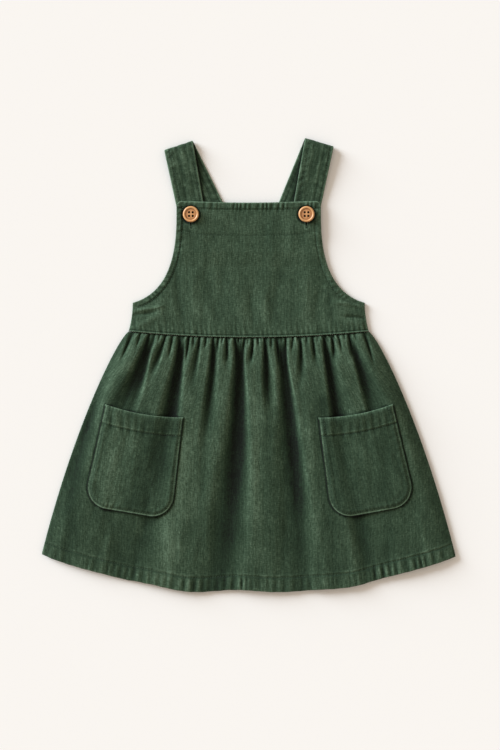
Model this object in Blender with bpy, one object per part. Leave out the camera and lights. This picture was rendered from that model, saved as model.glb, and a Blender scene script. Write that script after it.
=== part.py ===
"""A child's pinafore dress, laid flat with its front up.

Metres, +Z up, +Y towards the straps. The surface that the dress lies on is z = 0, and the
origin is the middle of the dress on that surface. Every cloth piece is a closed wall, made
from rows of points on its upper side and the same points moved down by the cloth's thickness.
Run it with: blender --background --python part.py
"""

import math
from collections import namedtuple

import bmesh
import bpy
import numpy as np

MM = 0.001

# ---------------------------------------------------------------- driving dimensions
CLOTH = 1.2 * MM  # one layer of the washed twill, as a wall
STRAP_CLOTH = 1.6 * MM  # a strap is folded double and stitched
SEAM_GAP = 0.3 * MM  # between two pieces that are sewn together
BAND_RISE = 0.45 * MM  # how far a turned and stitched edge stands above its panel

WAIST_HALF = 132.0 * MM  # half the waist seam, laid flat
WAIST_SIDE_Y = 39.0 * MM
WAIST_MIDDLE_Y = 32.5 * MM
HEM_HALF = 227.3 * MM
HEM_SIDE_Y = -206.4 * MM
HEM_MIDDLE_Y = -247.6 * MM
HEM_BAND = 17.0 * MM  # the turned hem
FLARE_POWER_WAIST = 0.77  # below 1, so that the skirt swells out just under the waist
FLARE_POWER_HEM = 0.645
HEM_CURVE_POWER = 2.4
HEM_TILT = -1.3 * MM  # the hem lies a little lower on the +X side
HEM_WAVE = 1.3 * MM  # the hem's slow wave, its length, and where one crest lies
HEM_WAVE_LENGTH = 155.0 * MM
HEM_WAVE_CREST = 82.7 * MM

SKIRT_LENGTH = WAIST_MIDDLE_Y - HEM_MIDDLE_Y
SKIRT_ROLL = 20.0 * MM  # how far in from a side seam the front skirt rises to its height
SIDE_TOP = 2 * CLOTH + SEAM_GAP  # upper side of the front panel at a side seam
BACK_HEM_INSET = 1.5 * MM  # the back hem lies this far inside the front hem

BIB_TOP_MIDDLE_Y = 180.0 * MM
BIB_ROLL = 12.0 * MM  # how far in from its side the bib rises to its height
BIB_MIDDLE_HALF = 20.0 * MM  # the bib's middle, between the straps
BIB_SIDES_FROM = 36.0 * MM  # and its sides, over them
UNDERARM_HALF = 127.5 * MM
UNDERARM_Y = 70.0 * MM
STITCHED_EDGE = 7.0 * MM  # width of the turned armhole edge and of the bib's top edge
EDGE_SLOPE = 1.2 * MM  # width of the step down from a turned edge
PIPING = 2.2 * MM  # width of the raised seam edge along the waist
PIPING_RISE = 0.7 * MM

STRAP_WIDTH = 32.6 * MM
STRAP_END_WIDTH = 29.0 * MM  # the front leg tapers towards its button
STRAP_FOLD_GAP = 2.6 * MM  # height of the loop inside the fold
STRAP_FRONT_END_Y = 154.0 * MM
STRAP_BACK_END_Y = 130.0 * MM  # sewn to the inside of the back bodice
STRAP_STEP = 5.0 * MM  # length of its step up onto the back bodice
STRAP_STEP_GAP = 1.0 * MM  # between the step and the back bodice's top edge

BUTTON_X = 63.4 * MM
BUTTON_Y = 167.8 * MM
BUTTON_DIAMETER = 18.0 * MM
BUTTON_THICKNESS = 3.2 * MM
BUTTON_DISH_RADIUS = 6.3 * MM
BUTTON_DISH_DEPTH = 0.8 * MM
BUTTON_HOLE_DIAMETER = 2.0 * MM
BUTTON_HOLE_SPACING = 3.9 * MM
BUTTON_SIDES = 32
BUTTON_HOLE_SIDES = 10
BUTTONHOLE_WIDTH = 1.2 * MM
BUTTONHOLE_LOW_Y = 152.4 * MM
BUTTONHOLE_HIGH_Y = 170.4 * MM

POCKET_FLARE = math.radians(3.1)
POCKET_DEPTH = 113.0 * MM
POCKET_CORNER_RADIUS = 26.0 * MM
POCKET_MOUTH_SAG = 3.8 * MM
POCKET_MOUTH_BAND = 18.5 * MM
POCKET_MOUTH_LIFT = 1.6 * MM  # the mouth stands a little open, and how far down that goes
POCKET_LIFT_DEPTH = 20.0 * MM
POCKET_GAP = 0.4 * MM  # between the pocket and the skirt that it lies on

# Each armhole, on the +X side: the panel's rounded top corner, where the curve starts below
# it, and the curve's two handles. It ends at the underarm.
Armhole = namedtuple("Armhole", "half corner_y radius start_y leave_y arrive_x arrive_y")
FRONT_ARMHOLE = Armhole(79.3 * MM, 181.6 * MM, 5.5 * MM, 165 * MM, 115 * MM, 92 * MM, 80 * MM)
BACK_ARMHOLE = Armhole(62.0 * MM, 146.0 * MM, 4.0 * MM, 128 * MM, 98 * MM, 84 * MM, 72 * MM)
ARMHOLE_STEPS = 9
SIDE_SEAM_STEPS = 3
BODICE_SPANS = 12

# Heights of the bib's upper side: at its edges, in its middle and at its sides. It lies on the
# back bodice, above that on the straps' sewn ends, and its top corners on the straps' two legs.
ON_STRAP_ENDS = 2 * CLOTH + STRAP_CLOTH + 2 * SEAM_GAP
ON_STRAP_LEGS = CLOTH + 2 * STRAP_CLOTH + 2 * SEAM_GAP
BibLoft = namedtuple("BibLoft", "y edge middle sides")
BIB_LOFT = [
    BibLoft(32.0 * MM, SIDE_TOP, 4.6 * MM, 4.6 * MM),
    BibLoft(46.0 * MM, SIDE_TOP, 4.3 * MM, 4.3 * MM),
    BibLoft(75.0 * MM, SIDE_TOP, 3.2 * MM, 3.2 * MM),
    BibLoft(110.0 * MM, SIDE_TOP, 3.2 * MM, 3.2 * MM),
    BibLoft(126.0 * MM, SIDE_TOP, ON_STRAP_ENDS, ON_STRAP_ENDS),
    BibLoft(138.0 * MM, SIDE_TOP + 0.6 * MM, ON_STRAP_ENDS, ON_STRAP_ENDS),
    BibLoft(150.0 * MM, ON_STRAP_LEGS, ON_STRAP_ENDS, ON_STRAP_LEGS),
    BibLoft(182.0 * MM, ON_STRAP_LEGS, ON_STRAP_ENDS, ON_STRAP_LEGS),
]

# Each strap: the middle of its fold, and how far its legs lean outwards from the buttons and
# inwards to the back bodice. side is the sign of its x.
Strap = namedtuple("Strap", "word side fold_x fold_y front_lean back_lean")
STRAPS = [
    Strap("left", -1, 76.8 * MM, 243.2 * MM, math.radians(11.0), math.radians(26.1)),
    Strap("right", 1, 77.4 * MM, 246.6 * MM, math.radians(11.0), math.radians(22.2)),
]

# Each pocket: the middle of its mouth, half the mouth's width, and its turn, since a pocket
# hangs square to the flared skirt.
Pocket = namedtuple("Pocket", "word side mouth_x mouth_y mouth_half turn")
POCKETS = [
    Pocket("left", -1, 114.0 * MM, -48.6 * MM, 42.7 * MM, math.radians(9.6)),
    Pocket("right", 1, 117.5 * MM, -48.6 * MM, 40.8 * MM, math.radians(10.3)),
]

# How the front leg settles from the fold's height onto the back leg, from the fold (0) to
# the leg's end (1).
Fall = namedtuple("Fall", "share fallen")
STRAP_FALL = [
    Fall(0.08, 0.0),
    Fall(0.20, 0.12),
    Fall(0.35, 0.42),
    Fall(0.50, 0.80),
    Fall(0.62, 1.0),
    Fall(0.80, 1.0),
    Fall(1.00, 1.0),
]

# Height of the front skirt's upper side on its ridges, from the waist (0) to the hem (1).
Loft = namedtuple("Loft", "down height")
SKIRT_LOFT = [
    Loft(0.00, 4.6 * MM),
    Loft(0.035, 7.4 * MM),
    Loft(0.12, 9.4 * MM),
    Loft(0.35, 8.8 * MM),
    Loft(0.70, 7.4 * MM),
    Loft(1.00, 5.6 * MM),
]

# The gathers' troughs, from the wearer's right side seam to the left one. across is a share
# of the panel's half width, and down a share of the way from the waist to the hem.
# spread is half a trough's width where it ends, and kept the share of its depth left there.
Fold = namedtuple("Fold", "across_waist across_end start reach depth spread kept")
FOLDS = [
    Fold(-0.906, -0.860, 0.00, 1.00, 3.7 * MM, 14.0 * MM, 0.55),
    Fold(-0.850, -0.855, 0.00, 0.10, 2.1 * MM, 2.6 * MM, 0.0),
    Fold(-0.780, -0.805, 0.00, 0.44, 6.2 * MM, 9.0 * MM, 0.0),
    Fold(-0.734, -0.750, 0.00, 0.13, 2.5 * MM, 2.6 * MM, 0.0),
    Fold(-0.656, -0.668, 0.00, 0.27, 3.9 * MM, 5.5 * MM, 0.0),
    Fold(-0.594, -0.580, 0.00, 0.12, 3.0 * MM, 3.0 * MM, 0.0),
    Fold(-0.540, -0.600, 0.00, 1.00, 6.4 * MM, 18.0 * MM, 0.40),
    Fold(-0.469, -0.480, 0.00, 0.22, 4.4 * MM, 4.0 * MM, 0.0),
    Fold(-0.383, -0.384, 0.00, 0.27, 4.6 * MM, 4.5 * MM, 0.0),
    Fold(-0.328, -0.330, 0.00, 0.10, 2.8 * MM, 2.4 * MM, 0.0),
    Fold(-0.273, -0.262, 0.00, 0.58, 6.0 * MM, 8.5 * MM, 0.0),
    Fold(-0.230, -0.235, 0.00, 0.09, 2.5 * MM, 2.4 * MM, 0.0),
    Fold(-0.172, -0.152, 0.00, 0.20, 3.4 * MM, 4.0 * MM, 0.0),
    Fold(-0.110, -0.140, 0.00, 1.00, 6.7 * MM, 17.0 * MM, 0.50),
    Fold(-0.040, -0.055, 0.00, 0.17, 3.7 * MM, 3.4 * MM, 0.0),
    Fold(0.030, 0.000, 0.00, 0.20, 3.4 * MM, 4.0 * MM, 0.0),
    Fold(0.125, 0.134, 0.00, 0.48, 5.5 * MM, 7.0 * MM, 0.0),
    Fold(0.172, 0.170, 0.00, 0.08, 2.3 * MM, 2.2 * MM, 0.0),
    Fold(0.215, 0.235, 0.00, 1.00, 6.7 * MM, 15.0 * MM, 0.50),
    Fold(0.290, 0.262, 0.00, 0.22, 3.9 * MM, 3.8 * MM, 0.0),
    Fold(0.344, 0.340, 0.00, 0.09, 2.5 * MM, 2.4 * MM, 0.0),
    Fold(0.406, 0.320, 0.00, 0.34, 4.4 * MM, 5.0 * MM, 0.0),
    Fold(0.500, 0.478, 0.00, 0.23, 3.4 * MM, 4.5 * MM, 0.0),
    Fold(0.570, 0.566, 0.00, 1.00, 6.2 * MM, 17.0 * MM, 0.35),
    Fold(0.656, 0.610, 0.00, 0.23, 3.4 * MM, 4.5 * MM, 0.0),
    Fold(0.703, 0.695, 0.00, 0.10, 2.5 * MM, 2.6 * MM, 0.0),
    Fold(0.790, 0.756, 0.00, 0.42, 5.8 * MM, 9.0 * MM, 0.0),
    Fold(0.850, 0.850, 0.00, 0.09, 2.3 * MM, 2.4 * MM, 0.0),
    Fold(0.914, 0.955, 0.00, 0.30, 4.1 * MM, 6.0 * MM, 0.0),
    Fold(0.840, 0.730, 0.24, 1.00, 2.8 * MM, 16.0 * MM, 0.40),
]
FOLD_PINCH = 2.5 * MM  # half a trough's width at the waist seam
FOLD_WIDENING = 0.6  # below 1, so that a trough widens soon below the waist
PINCHED_DEPTH = 0.45  # share of a trough's depth at the waist seam itself
PINCH_RUN = 0.05  # and where it has its whole depth, as a share of the way down
FOLD_ONSET = 0.15  # how long a trough that starts below the waist takes to deepen
FOLD_FADES_FROM = 0.3  # share of its own length from which a trough grows shallow
FRONT_NESTING = 0.8 * MM  # how softly a trough comes to rest on the back panel
BACK_FOLD_SHARE = 0.38  # the back's gathers are pressed flatter by the surface below
BACK_FOLD_FLAT = 0.5 * MM  # shallower ones are pressed out
BACK_FOLD_ONSET = 0.07  # the back lies flat at its waist seam
STEEPEST_WALL = 1.5  # most that a sloping wall is deepened, measured straight down
THINNEST_WALL = 0.85  # least, as a share of the cloth's thickness

# Rows of points from the waist to the hem, and how many spans each stretch has across.
FRONT_FINE_ROWS = [0.0, 0.012, 0.03, 0.055, 0.085, 0.12, 0.165, 0.215, 0.28]
FRONT_COARSE_ROWS = [0.36, 0.45, 0.55, 0.65, 0.75, 0.85]
FRONT_SPANS = 132
BACK_FINE_ROWS = [0.0, 0.03, 0.07, 0.12, 0.18, 0.26]
BACK_COARSE_ROWS = [0.38, 0.52, 0.68, 0.84]
BACK_SPANS = 88

GREEN = (0.052, 0.088, 0.052, 1.0)
BUTTON_WOOD = (0.50, 0.26, 0.12, 1.0)


# ---------------------------------------------------------------- small helpers
def smoothstep(low, high, value):
    """0 below low, 1 above high, and a smooth rise between; high may be below low."""
    share = np.clip((np.asarray(value, float) - low) / (high - low), 0.0, 1.0)
    return share * share * (3 - 2 * share)


def soft_max(first, second, softness):
    """The larger of two heights, rounded where they meet and never below either."""
    return 0.5 * (first + second + np.sqrt((first - second) ** 2 + softness**2))


def roll_off(distance, width):
    """A soft rounded edge: 0 at the edge, 1 from the given width inwards."""
    share = np.clip(np.asarray(distance, float) / width, 0.0, 1.0)
    return np.sin(share * math.pi / 2)


def bezier(start, leave, arrive, end, steps):
    """Points along a cubic curve."""
    t = np.linspace(0, 1, steps + 1)[:, None]
    ends = (1 - t) ** 3 * np.array(start) + t**3 * np.array(end)
    return ends + 3 * (1 - t) ** 2 * t * np.array(leave) + 3 * (1 - t) * t**2 * np.array(arrive)


def column(table, name):
    return [getattr(row, name) for row in table]


def remove_startup_objects():
    for obj in list(bpy.data.objects):
        bpy.data.objects.remove(obj, do_unlink=True)


def material(name, colour, roughness):
    made = bpy.data.materials.new(name)
    made.use_nodes = True
    shader = made.node_tree.nodes["Principled BSDF"]
    shader.inputs["Base Color"].default_value = colour
    shader.inputs["Roughness"].default_value = roughness
    shader.inputs["Metallic"].default_value = 0.0
    return made


def add_object(name, mesh, surface, smooth_angle=40.0):
    mesh.materials.append(surface)
    mesh.shade_smooth()
    mesh.set_sharp_from_angle(angle=math.radians(smooth_angle))
    obj = bpy.data.objects.new(name, mesh)
    bpy.context.scene.collection.objects.link(obj)
    return obj


def faces_between(near, far):
    """Faces that join two rows of vertices. far has as many spans as near, or half as many."""
    if len(near) == len(far):
        return [(near[i], far[i], far[i + 1], near[i + 1]) for i in range(len(near) - 1)]
    faces = []
    for i in range(len(far) - 1):
        a, b, c = near[2 * i], near[2 * i + 1], near[2 * i + 2]
        faces += [(a, far[i], b), (b, far[i], far[i + 1]), (b, far[i + 1], c)]
    return faces


def cloth_wall(name, upper_rows, lower_rows):
    """A closed wall between two sets of rows, which run from +Y to -Y, and each to +X."""
    bm = bmesh.new()
    upper = [[bm.verts.new(p) for p in row] for row in upper_rows]
    lower = [[bm.verts.new(p) for p in row] for row in lower_rows]
    for i in range(len(upper) - 1):
        for face in faces_between(upper[i], upper[i + 1]):
            bm.faces.new(face)
        for face in faces_between(lower[i], lower[i + 1]):
            bm.faces.new(face[::-1])
    rim_upper = upper[0][::-1] + [row[0] for row in upper[1:]]
    rim_upper += upper[-1][1:] + [row[-1] for row in upper[-2:0:-1]]
    rim_lower = lower[0][::-1] + [row[0] for row in lower[1:]]
    rim_lower += lower[-1][1:] + [row[-1] for row in lower[-2:0:-1]]
    for i in range(len(rim_upper)):
        j = (i + 1) % len(rim_upper)
        bm.faces.new((rim_upper[i], rim_lower[i], rim_lower[j], rim_upper[j]))
    bmesh.ops.recalc_face_normals(bm, faces=bm.faces)
    mesh = bpy.data.meshes.new(name)
    bm.to_mesh(mesh)
    bm.free()
    return mesh


def points(x, y, z):
    return list(zip(x.tolist(), y.tolist(), z.tolist()))


# ---------------------------------------------------------------- skirt
def skirt_half(down):
    """Half the skirt's width, laid flat, at a share of the way from waist to hem."""
    down = np.asarray(down, float)
    power = FLARE_POWER_WAIST + (FLARE_POWER_HEM - FLARE_POWER_WAIST) * down
    return WAIST_HALF + (HEM_HALF - WAIST_HALF) * down**power


def waist_y(across):
    return WAIST_MIDDLE_Y + (WAIST_SIDE_Y - WAIST_MIDDLE_Y) * np.asarray(across, float) ** 2


def hem_y(across):
    across = np.asarray(across, float)
    curve = HEM_MIDDLE_Y + (HEM_SIDE_Y - HEM_MIDDLE_Y) * np.abs(across) ** HEM_CURVE_POWER
    phase = 2 * math.pi * (across * HEM_HALF - HEM_WAVE_CREST) / HEM_WAVE_LENGTH
    return curve + HEM_TILT * across - HEM_WAVE * np.cos(phase)


def skirt_place(across, down, hem_inset=0.0):
    """x and y of a place on the skirt; the waist seam leaves its gap below the bodice."""
    top = waist_y(across) - SEAM_GAP / 2
    low = hem_y(across) + hem_inset
    return across * skirt_half(down), top + (low - top) * down


def skirt_shares(x, y):
    """The across and down shares of a place, found by repeated correction."""
    across = x / skirt_half(0.5)
    for _ in range(30):
        top = waist_y(across) - SEAM_GAP / 2
        down = np.clip((y - top) / (hem_y(across) - top), 0.0, 1.0)
        across = x / skirt_half(down)
    return across, down


def trough_depth(across, down):
    """How far the gathers' troughs sink below the ridges, all of them together."""
    total = np.zeros(np.broadcast(across, down).shape)
    for fold in FOLDS:
        run = np.clip((down - fold.start) / (fold.reach - fold.start), 0.0, 1.0)
        middle = fold.across_waist + (fold.across_end - fold.across_waist) * run
        spread = FOLD_PINCH + (fold.spread - FOLD_PINCH) * run**FOLD_WIDENING
        if fold.start:
            rise = smoothstep(fold.start, fold.start + FOLD_ONSET, down)
        else:
            rise = PINCHED_DEPTH + (1 - PINCHED_DEPTH) * smoothstep(0.0, PINCH_RUN, down)
        fade = 1 - (1 - fold.kept) * smoothstep(FOLD_FADES_FROM, 1.0, run)
        aside = (across - middle) * skirt_half(down) / spread
        total += fold.depth * rise * fade * np.exp(-(aside**2))
    return total


def back_lift(across, down):
    """How far the back panel's gathers lift it off the surface. Between them it lies flat."""
    trough = trough_depth(-across, down) * smoothstep(0.0, BACK_FOLD_ONSET, down)
    lift = BACK_FOLD_SHARE * trough - BACK_FOLD_FLAT
    inside = smoothstep(0.0, SKIRT_ROLL, (1 - np.abs(across)) * skirt_half(down))
    return np.maximum(0.0, lift) * inside


def skirt_front_top(across, down):
    """Height of the front skirt's upper side, without its hem band."""
    loft = np.interp(down, column(SKIRT_LOFT, "down"), column(SKIRT_LOFT, "height"))
    inwards = (1 - np.abs(across)) * skirt_half(down)
    shaped = SIDE_TOP + (loft - SIDE_TOP) * roll_off(inwards, SKIRT_ROLL)
    resting = back_lift(across, down) + SIDE_TOP
    return soft_max(shaped - trough_depth(across, down), resting, FRONT_NESTING)


def slope_factor(height_at, across, down):
    """How much deeper a sloping wall is measured straight down, up to a limit."""
    step = 0.001
    side = (height_at(across + step, down) - height_at(across - step, down)) / 2
    run = step * skirt_half(down)
    return np.minimum(STEEPEST_WALL, np.sqrt(1 + (side / run) ** 2))


def skirt_rows(fine, coarse, spans):
    """across and down for each row: the fine rows, then coarser ones, then the hem band's."""
    band_start = 1 - HEM_BAND / SKIRT_LENGTH
    low = [*coarse, band_start - EDGE_SLOPE / SKIRT_LENGTH, band_start, 1.0]
    rows = [(np.linspace(-1, 1, spans + 1), down) for down in fine]
    return rows + [(np.linspace(-1, 1, spans // 2 + 1), down) for down in low]


def skirt_front(cloth):
    rows = skirt_rows(FRONT_FINE_ROWS, FRONT_COARSE_ROWS, FRONT_SPANS)
    upper, lower = [], []
    for i, (across, down) in enumerate(rows):
        x, y = skirt_place(across, down)
        top = skirt_front_top(across, down)
        under = top - CLOTH * slope_factor(skirt_front_top, across, down)
        resting = back_lift(across, down) + CLOTH + SEAM_GAP
        under = np.minimum(np.maximum(under, resting), top - THINNEST_WALL * CLOTH)
        raised = BAND_RISE if i >= len(rows) - 2 else 0.0
        upper.append(points(x, y, top + raised))
        lower.append(points(x, y, under))
    return add_object("skirt_front", cloth_wall("skirt_front", upper, lower), cloth)


def skirt_back(cloth):
    upper, lower = [], []
    for across, down in skirt_rows(BACK_FINE_ROWS, BACK_COARSE_ROWS, BACK_SPANS):
        x, y = skirt_place(across, down, BACK_HEM_INSET)
        under = back_lift(across, down)
        upper.append(points(x, y, under + CLOTH))
        lower.append(points(x, y, under))
    return add_object("skirt_back", cloth_wall("skirt_back", upper, lower), cloth)


# ---------------------------------------------------------------- bodice
def bodice_outline(armhole):
    """One side's points from the round top corner to the waist, with their inward normals."""
    turn = np.radians([90.0, 45.0, 0.0])
    ways = np.stack([np.cos(turn), np.sin(turn)], axis=1)
    centre = np.array([armhole.half - armhole.radius, armhole.corner_y - armhole.radius])
    curve = bezier(
        (armhole.half, armhole.start_y),
        (armhole.half, armhole.leave_y),
        (armhole.arrive_x, armhole.arrive_y),
        (UNDERARM_HALF, UNDERARM_Y),
        ARMHOLE_STEPS,
    )
    along = np.gradient(curve, axis=0)
    along /= np.linalg.norm(along, axis=1)[:, None]
    inward = np.stack([along[:, 1], -along[:, 0]], axis=1)
    share = np.linspace(0, 1, SIDE_SEAM_STEPS + 1)[1:]
    side_x = UNDERARM_HALF + (WAIST_HALF - UNDERARM_HALF) * share**2
    side_y = UNDERARM_Y + (WAIST_SIDE_Y + SEAM_GAP / 2 - UNDERARM_Y) * share
    outline = [centre + armhole.radius * ways, curve, np.stack([side_x, side_y], axis=1)]
    level = [[-1.0, 0.0]]
    turning = [[-0.6, -0.8]]
    normals = [level * len(ways), inward, turning, level * (SIDE_SEAM_STEPS - 1)]
    return np.concatenate(outline), np.concatenate(normals)


def bodice_row(edge, inward, middle_y, edge_steps):
    """x and y of one row between an outline point and its mirror image, with its edge strip."""
    strip = np.array([edge + inward * step for step in edge_steps])
    half, side_y = strip[-1]
    share = np.linspace(-1, 1, BODICE_SPANS + 1)
    outer = strip[:-1]
    x = np.concatenate([-outer[:, 0], share * half, outer[::-1, 0]])
    inner_y = middle_y + (side_y - middle_y) * share**2
    return x, np.concatenate([outer[:, 1], inner_y, outer[::-1, 1]])


def bib_height(x, y, inwards):
    """Height of the front bodice's upper side, inwards from its edge."""
    low_y = column(BIB_LOFT, "y")
    edge = np.interp(y, low_y, column(BIB_LOFT, "edge"))
    middle = np.interp(y, low_y, column(BIB_LOFT, "middle"))
    sides = np.interp(y, low_y, column(BIB_LOFT, "sides"))
    inner = middle + (sides - middle) * smoothstep(BIB_MIDDLE_HALF, BIB_SIDES_FROM, np.abs(x))
    return edge + (inner - edge) * roll_off(inwards, BIB_ROLL)


def bodice_front(cloth):
    outline, normals = bodice_outline(FRONT_ARMHOLE)
    edge_steps = [0.0, STITCHED_EDGE, STITCHED_EDGE + EDGE_SLOPE]
    low = WAIST_MIDDLE_Y + SEAM_GAP / 2
    below_top = [0.0, STITCHED_EDGE / 2, STITCHED_EDGE, STITCHED_EDGE + EDGE_SLOPE]
    top_rows = [BIB_TOP_MIDDLE_Y - depth for depth in below_top]
    plain_rows = np.linspace(top_rows[-1], low, len(outline) - len(top_rows) + 1)[1:]
    upper, lower = [], []

    def add_row(x, y, raised):
        top = bib_height(x, y, np.maximum(x[-1] - np.abs(x), 0.0))
        upper.append(points(x, y, top + raised))
        lower.append(points(x, y, top - CLOTH))

    armhole_rows = len(outline) - SIDE_SEAM_STEPS
    for i, middle_y in enumerate([*top_rows, *plain_rows][:-1]):
        x, y = bodice_row(outline[i], normals[i], middle_y, edge_steps)
        raised = np.full(len(x), BAND_RISE if i < 3 else 0.0)
        if i < armhole_rows:
            raised[[0, 1, -2, -1]] = BAND_RISE
        add_row(x, y, raised)
    x = x * WAIST_HALF / x[-1]
    seam_y = waist_y(x / WAIST_HALF) + SEAM_GAP / 2
    add_row(x, seam_y + PIPING + EDGE_SLOPE, 0.0)
    add_row(x, seam_y + PIPING, PIPING_RISE)
    add_row(x, seam_y, PIPING_RISE)
    panel = add_object("bodice_front", cloth_wall("bodice_front", upper, lower), cloth)
    for side, word in ((-1, "left"), (1, "right")):
        cut_buttonhole(panel, side, word)
    return panel


def cut_buttonhole(panel, side, word):
    """An upright slit below each button, cut through the bib."""
    length = BUTTONHOLE_HIGH_Y - BUTTONHOLE_LOW_Y
    bm = bmesh.new()
    bmesh.ops.create_cube(bm, size=1.0)
    bmesh.ops.scale(bm, vec=(BUTTONHOLE_WIDTH, length, 8 * CLOTH), verts=bm.verts)
    place = (side * BUTTON_X, (BUTTONHOLE_HIGH_Y + BUTTONHOLE_LOW_Y) / 2, ON_STRAP_LEGS)
    add_cutter(panel, f"buttonhole_{word}", bm, place)


def add_cutter(piece, name, bm, place):
    """Cut a closed shape out of a piece, with its middle at a place beside the piece's own."""
    mesh = bpy.data.meshes.new(name)
    bm.to_mesh(mesh)
    bm.free()
    cutter = bpy.data.objects.new(name, mesh)
    cutter.parent = piece
    cutter.location = place
    cutter.hide_render = True
    cutter.display_type = "WIRE"
    bpy.context.scene.collection.objects.link(cutter)
    cut = piece.modifiers.new(name, "BOOLEAN")
    cut.operation = "DIFFERENCE"
    cut.solver = "EXACT"
    cut.object = cutter


def bodice_back(cloth):
    outline, normals = bodice_outline(BACK_ARMHOLE)
    low = WAIST_MIDDLE_Y + SEAM_GAP / 2
    upper, lower = [], []
    for i, middle_y in enumerate(np.linspace(BACK_ARMHOLE.corner_y, low, len(outline))):
        x, y = bodice_row(outline[i], normals[i], middle_y, [0.0, STITCHED_EDGE])
        if i == len(outline) - 1:
            y = waist_y(x / WAIST_HALF) + SEAM_GAP / 2
        upper.append(points(x, y, np.full(len(x), CLOTH)))
        lower.append(points(x, y, np.zeros(len(x))))
    return add_object("bodice_back", cloth_wall("bodice_back", upper, lower), cloth)


# ---------------------------------------------------------------- straps
def strap(piece, cloth):
    """A flat ribbon: up from the back bodice, folded over at the shoulder, down to the button.

    It is worked out along two directions: along_fold, the fold's own line, and down_fold, away
    from it. Each leg is skewed along the fold, one way or the other, by half the angle between
    the legs.
    """
    tilt = (piece.front_lean + piece.back_lean) / 2
    skew = math.tan((piece.back_lean - piece.front_lean) / 2)
    along_fold = np.array([math.cos(tilt), math.sin(tilt)])
    down_fold = np.array([math.sin(tilt), -math.cos(tilt)])
    radius = (STRAP_FOLD_GAP + STRAP_CLOTH) / 2
    centre = np.array([-piece.fold_x, piece.fold_y]) + down_fold * (radius + STRAP_CLOTH / 2)
    half = STRAP_WIDTH / 2 * math.sqrt(1 + skew**2)
    columns = np.linspace(-half, half, 5)
    low = STRAP_CLOTH / 2
    high = low + 2 * radius
    laid = low + STRAP_CLOTH + SEAM_GAP  # where the front leg lies on the back leg

    def leg_end(end_y, lean):
        """How far down from the fold each column reaches a level line."""
        rate = down_fold[1] + along_fold[1] * lean
        return (end_y - centre[1] - columns * along_fold[1]) / rate

    outer, inner = [], []

    def add_row(shift, place, height, way):
        for wall, sign in ((outer, 0.5), (inner, -0.5)):
            out = sign * STRAP_CLOTH
            reach = place - out * math.sin(way)
            x = centre[0] + shift * along_fold[0] + reach * down_fold[0]
            y = centre[1] + shift * along_fold[1] + reach * down_fold[1]
            z = height - out * math.cos(way) + np.zeros(len(x))
            wall.append(points(-piece.side * x, y, z))

    step_low = BACK_ARMHOLE.corner_y + STRAP_STEP_GAP
    step_high = step_low + STRAP_STEP
    for level in (STRAP_BACK_END_Y, step_low, step_low + STRAP_STEP / 2, step_high):
        place = leg_end(level, skew)
        rise = (CLOTH + SEAM_GAP) * float(smoothstep(step_high, step_low, level))
        add_row(columns + place * skew, place, low + rise, 0.0)
    for share in (0.75, 0.5, 0.25):
        place = share * leg_end(step_high, skew)
        add_row(columns + place * skew, place, low, 0.0)
    for angle in np.linspace(0.0, math.pi, 8):
        place = np.full(len(columns), -radius * math.sin(angle))
        height = low + radius * (1 - math.cos(angle))
        add_row(columns - radius * angle * skew, place, height, angle)
    front_end = leg_end(STRAP_FRONT_END_Y, -skew)
    for share, fallen in STRAP_FALL:
        place = share * front_end
        taper = 1 - (1 - STRAP_END_WIDTH / STRAP_WIDTH) * share
        shift = columns * taper - math.pi * radius * skew - place * skew
        add_row(shift, place, high + (laid - high) * fallen, math.pi)
    name = f"strap_{piece.word}"
    return add_object(name, cloth_wall(name, outer, inner), cloth)


# ---------------------------------------------------------------- pockets
def pocket_half(piece, depth):
    """Half a pocket's width at a depth below its mouth, with round lower corners."""
    straight = piece.mouth_half + depth * math.tan(POCKET_FLARE)
    into_corner = np.clip(depth - (POCKET_DEPTH - POCKET_CORNER_RADIUS), 0.0, None)
    inset = POCKET_CORNER_RADIUS - np.sqrt(
        np.clip(POCKET_CORNER_RADIUS**2 - into_corner**2, 0.0, None)
    )
    return straight - inset


def pocket_depths():
    """Rows down the pocket: its mouth band, its plain part, and its rounded foot."""
    band = [0.0, POCKET_MOUTH_BAND, POCKET_MOUTH_BAND + EDGE_SLOPE]
    corner = POCKET_DEPTH - POCKET_CORNER_RADIUS
    plain = np.linspace(band[-1], corner, 6)[1:]
    turns = np.radians([20.0, 38.0, 54.0, 68.0, 80.0])
    return [*band, *plain, *(corner + POCKET_CORNER_RADIUS * np.sin(turns)), POCKET_DEPTH]


def pocket_place(piece, across, depth):
    """x and y of a place on a pocket, for a share across it and a depth below its mouth."""
    aside = across * pocket_half(piece, depth)
    sag = POCKET_MOUTH_SAG * (1 - across**2) * (1 - depth / POCKET_DEPTH)
    low = depth + sag
    x = piece.mouth_x + aside * math.cos(piece.turn) + low * math.sin(piece.turn)
    y = piece.mouth_y + aside * math.sin(piece.turn) - low * math.cos(piece.turn)
    return piece.side * x, y


def pocket(piece, cloth):
    across = np.linspace(-1, 1, 15) * piece.side
    upper, lower = [], []
    for depth in pocket_depths():
        x, y = pocket_place(piece, across, depth)
        under = skirt_front_top(*skirt_shares(x, y)) + POCKET_GAP
        lifted = POCKET_MOUTH_LIFT * smoothstep(POCKET_LIFT_DEPTH, 0.0, depth)
        under = under + lifted * (1 - across**2)
        raised = BAND_RISE if depth <= POCKET_MOUTH_BAND else 0.0
        upper.append(points(x, y, under + CLOTH + raised))
        lower.append(points(x, y, under))
    name = f"pocket_{piece.word}"
    return add_object(name, cloth_wall(name, upper, lower), cloth)


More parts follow.
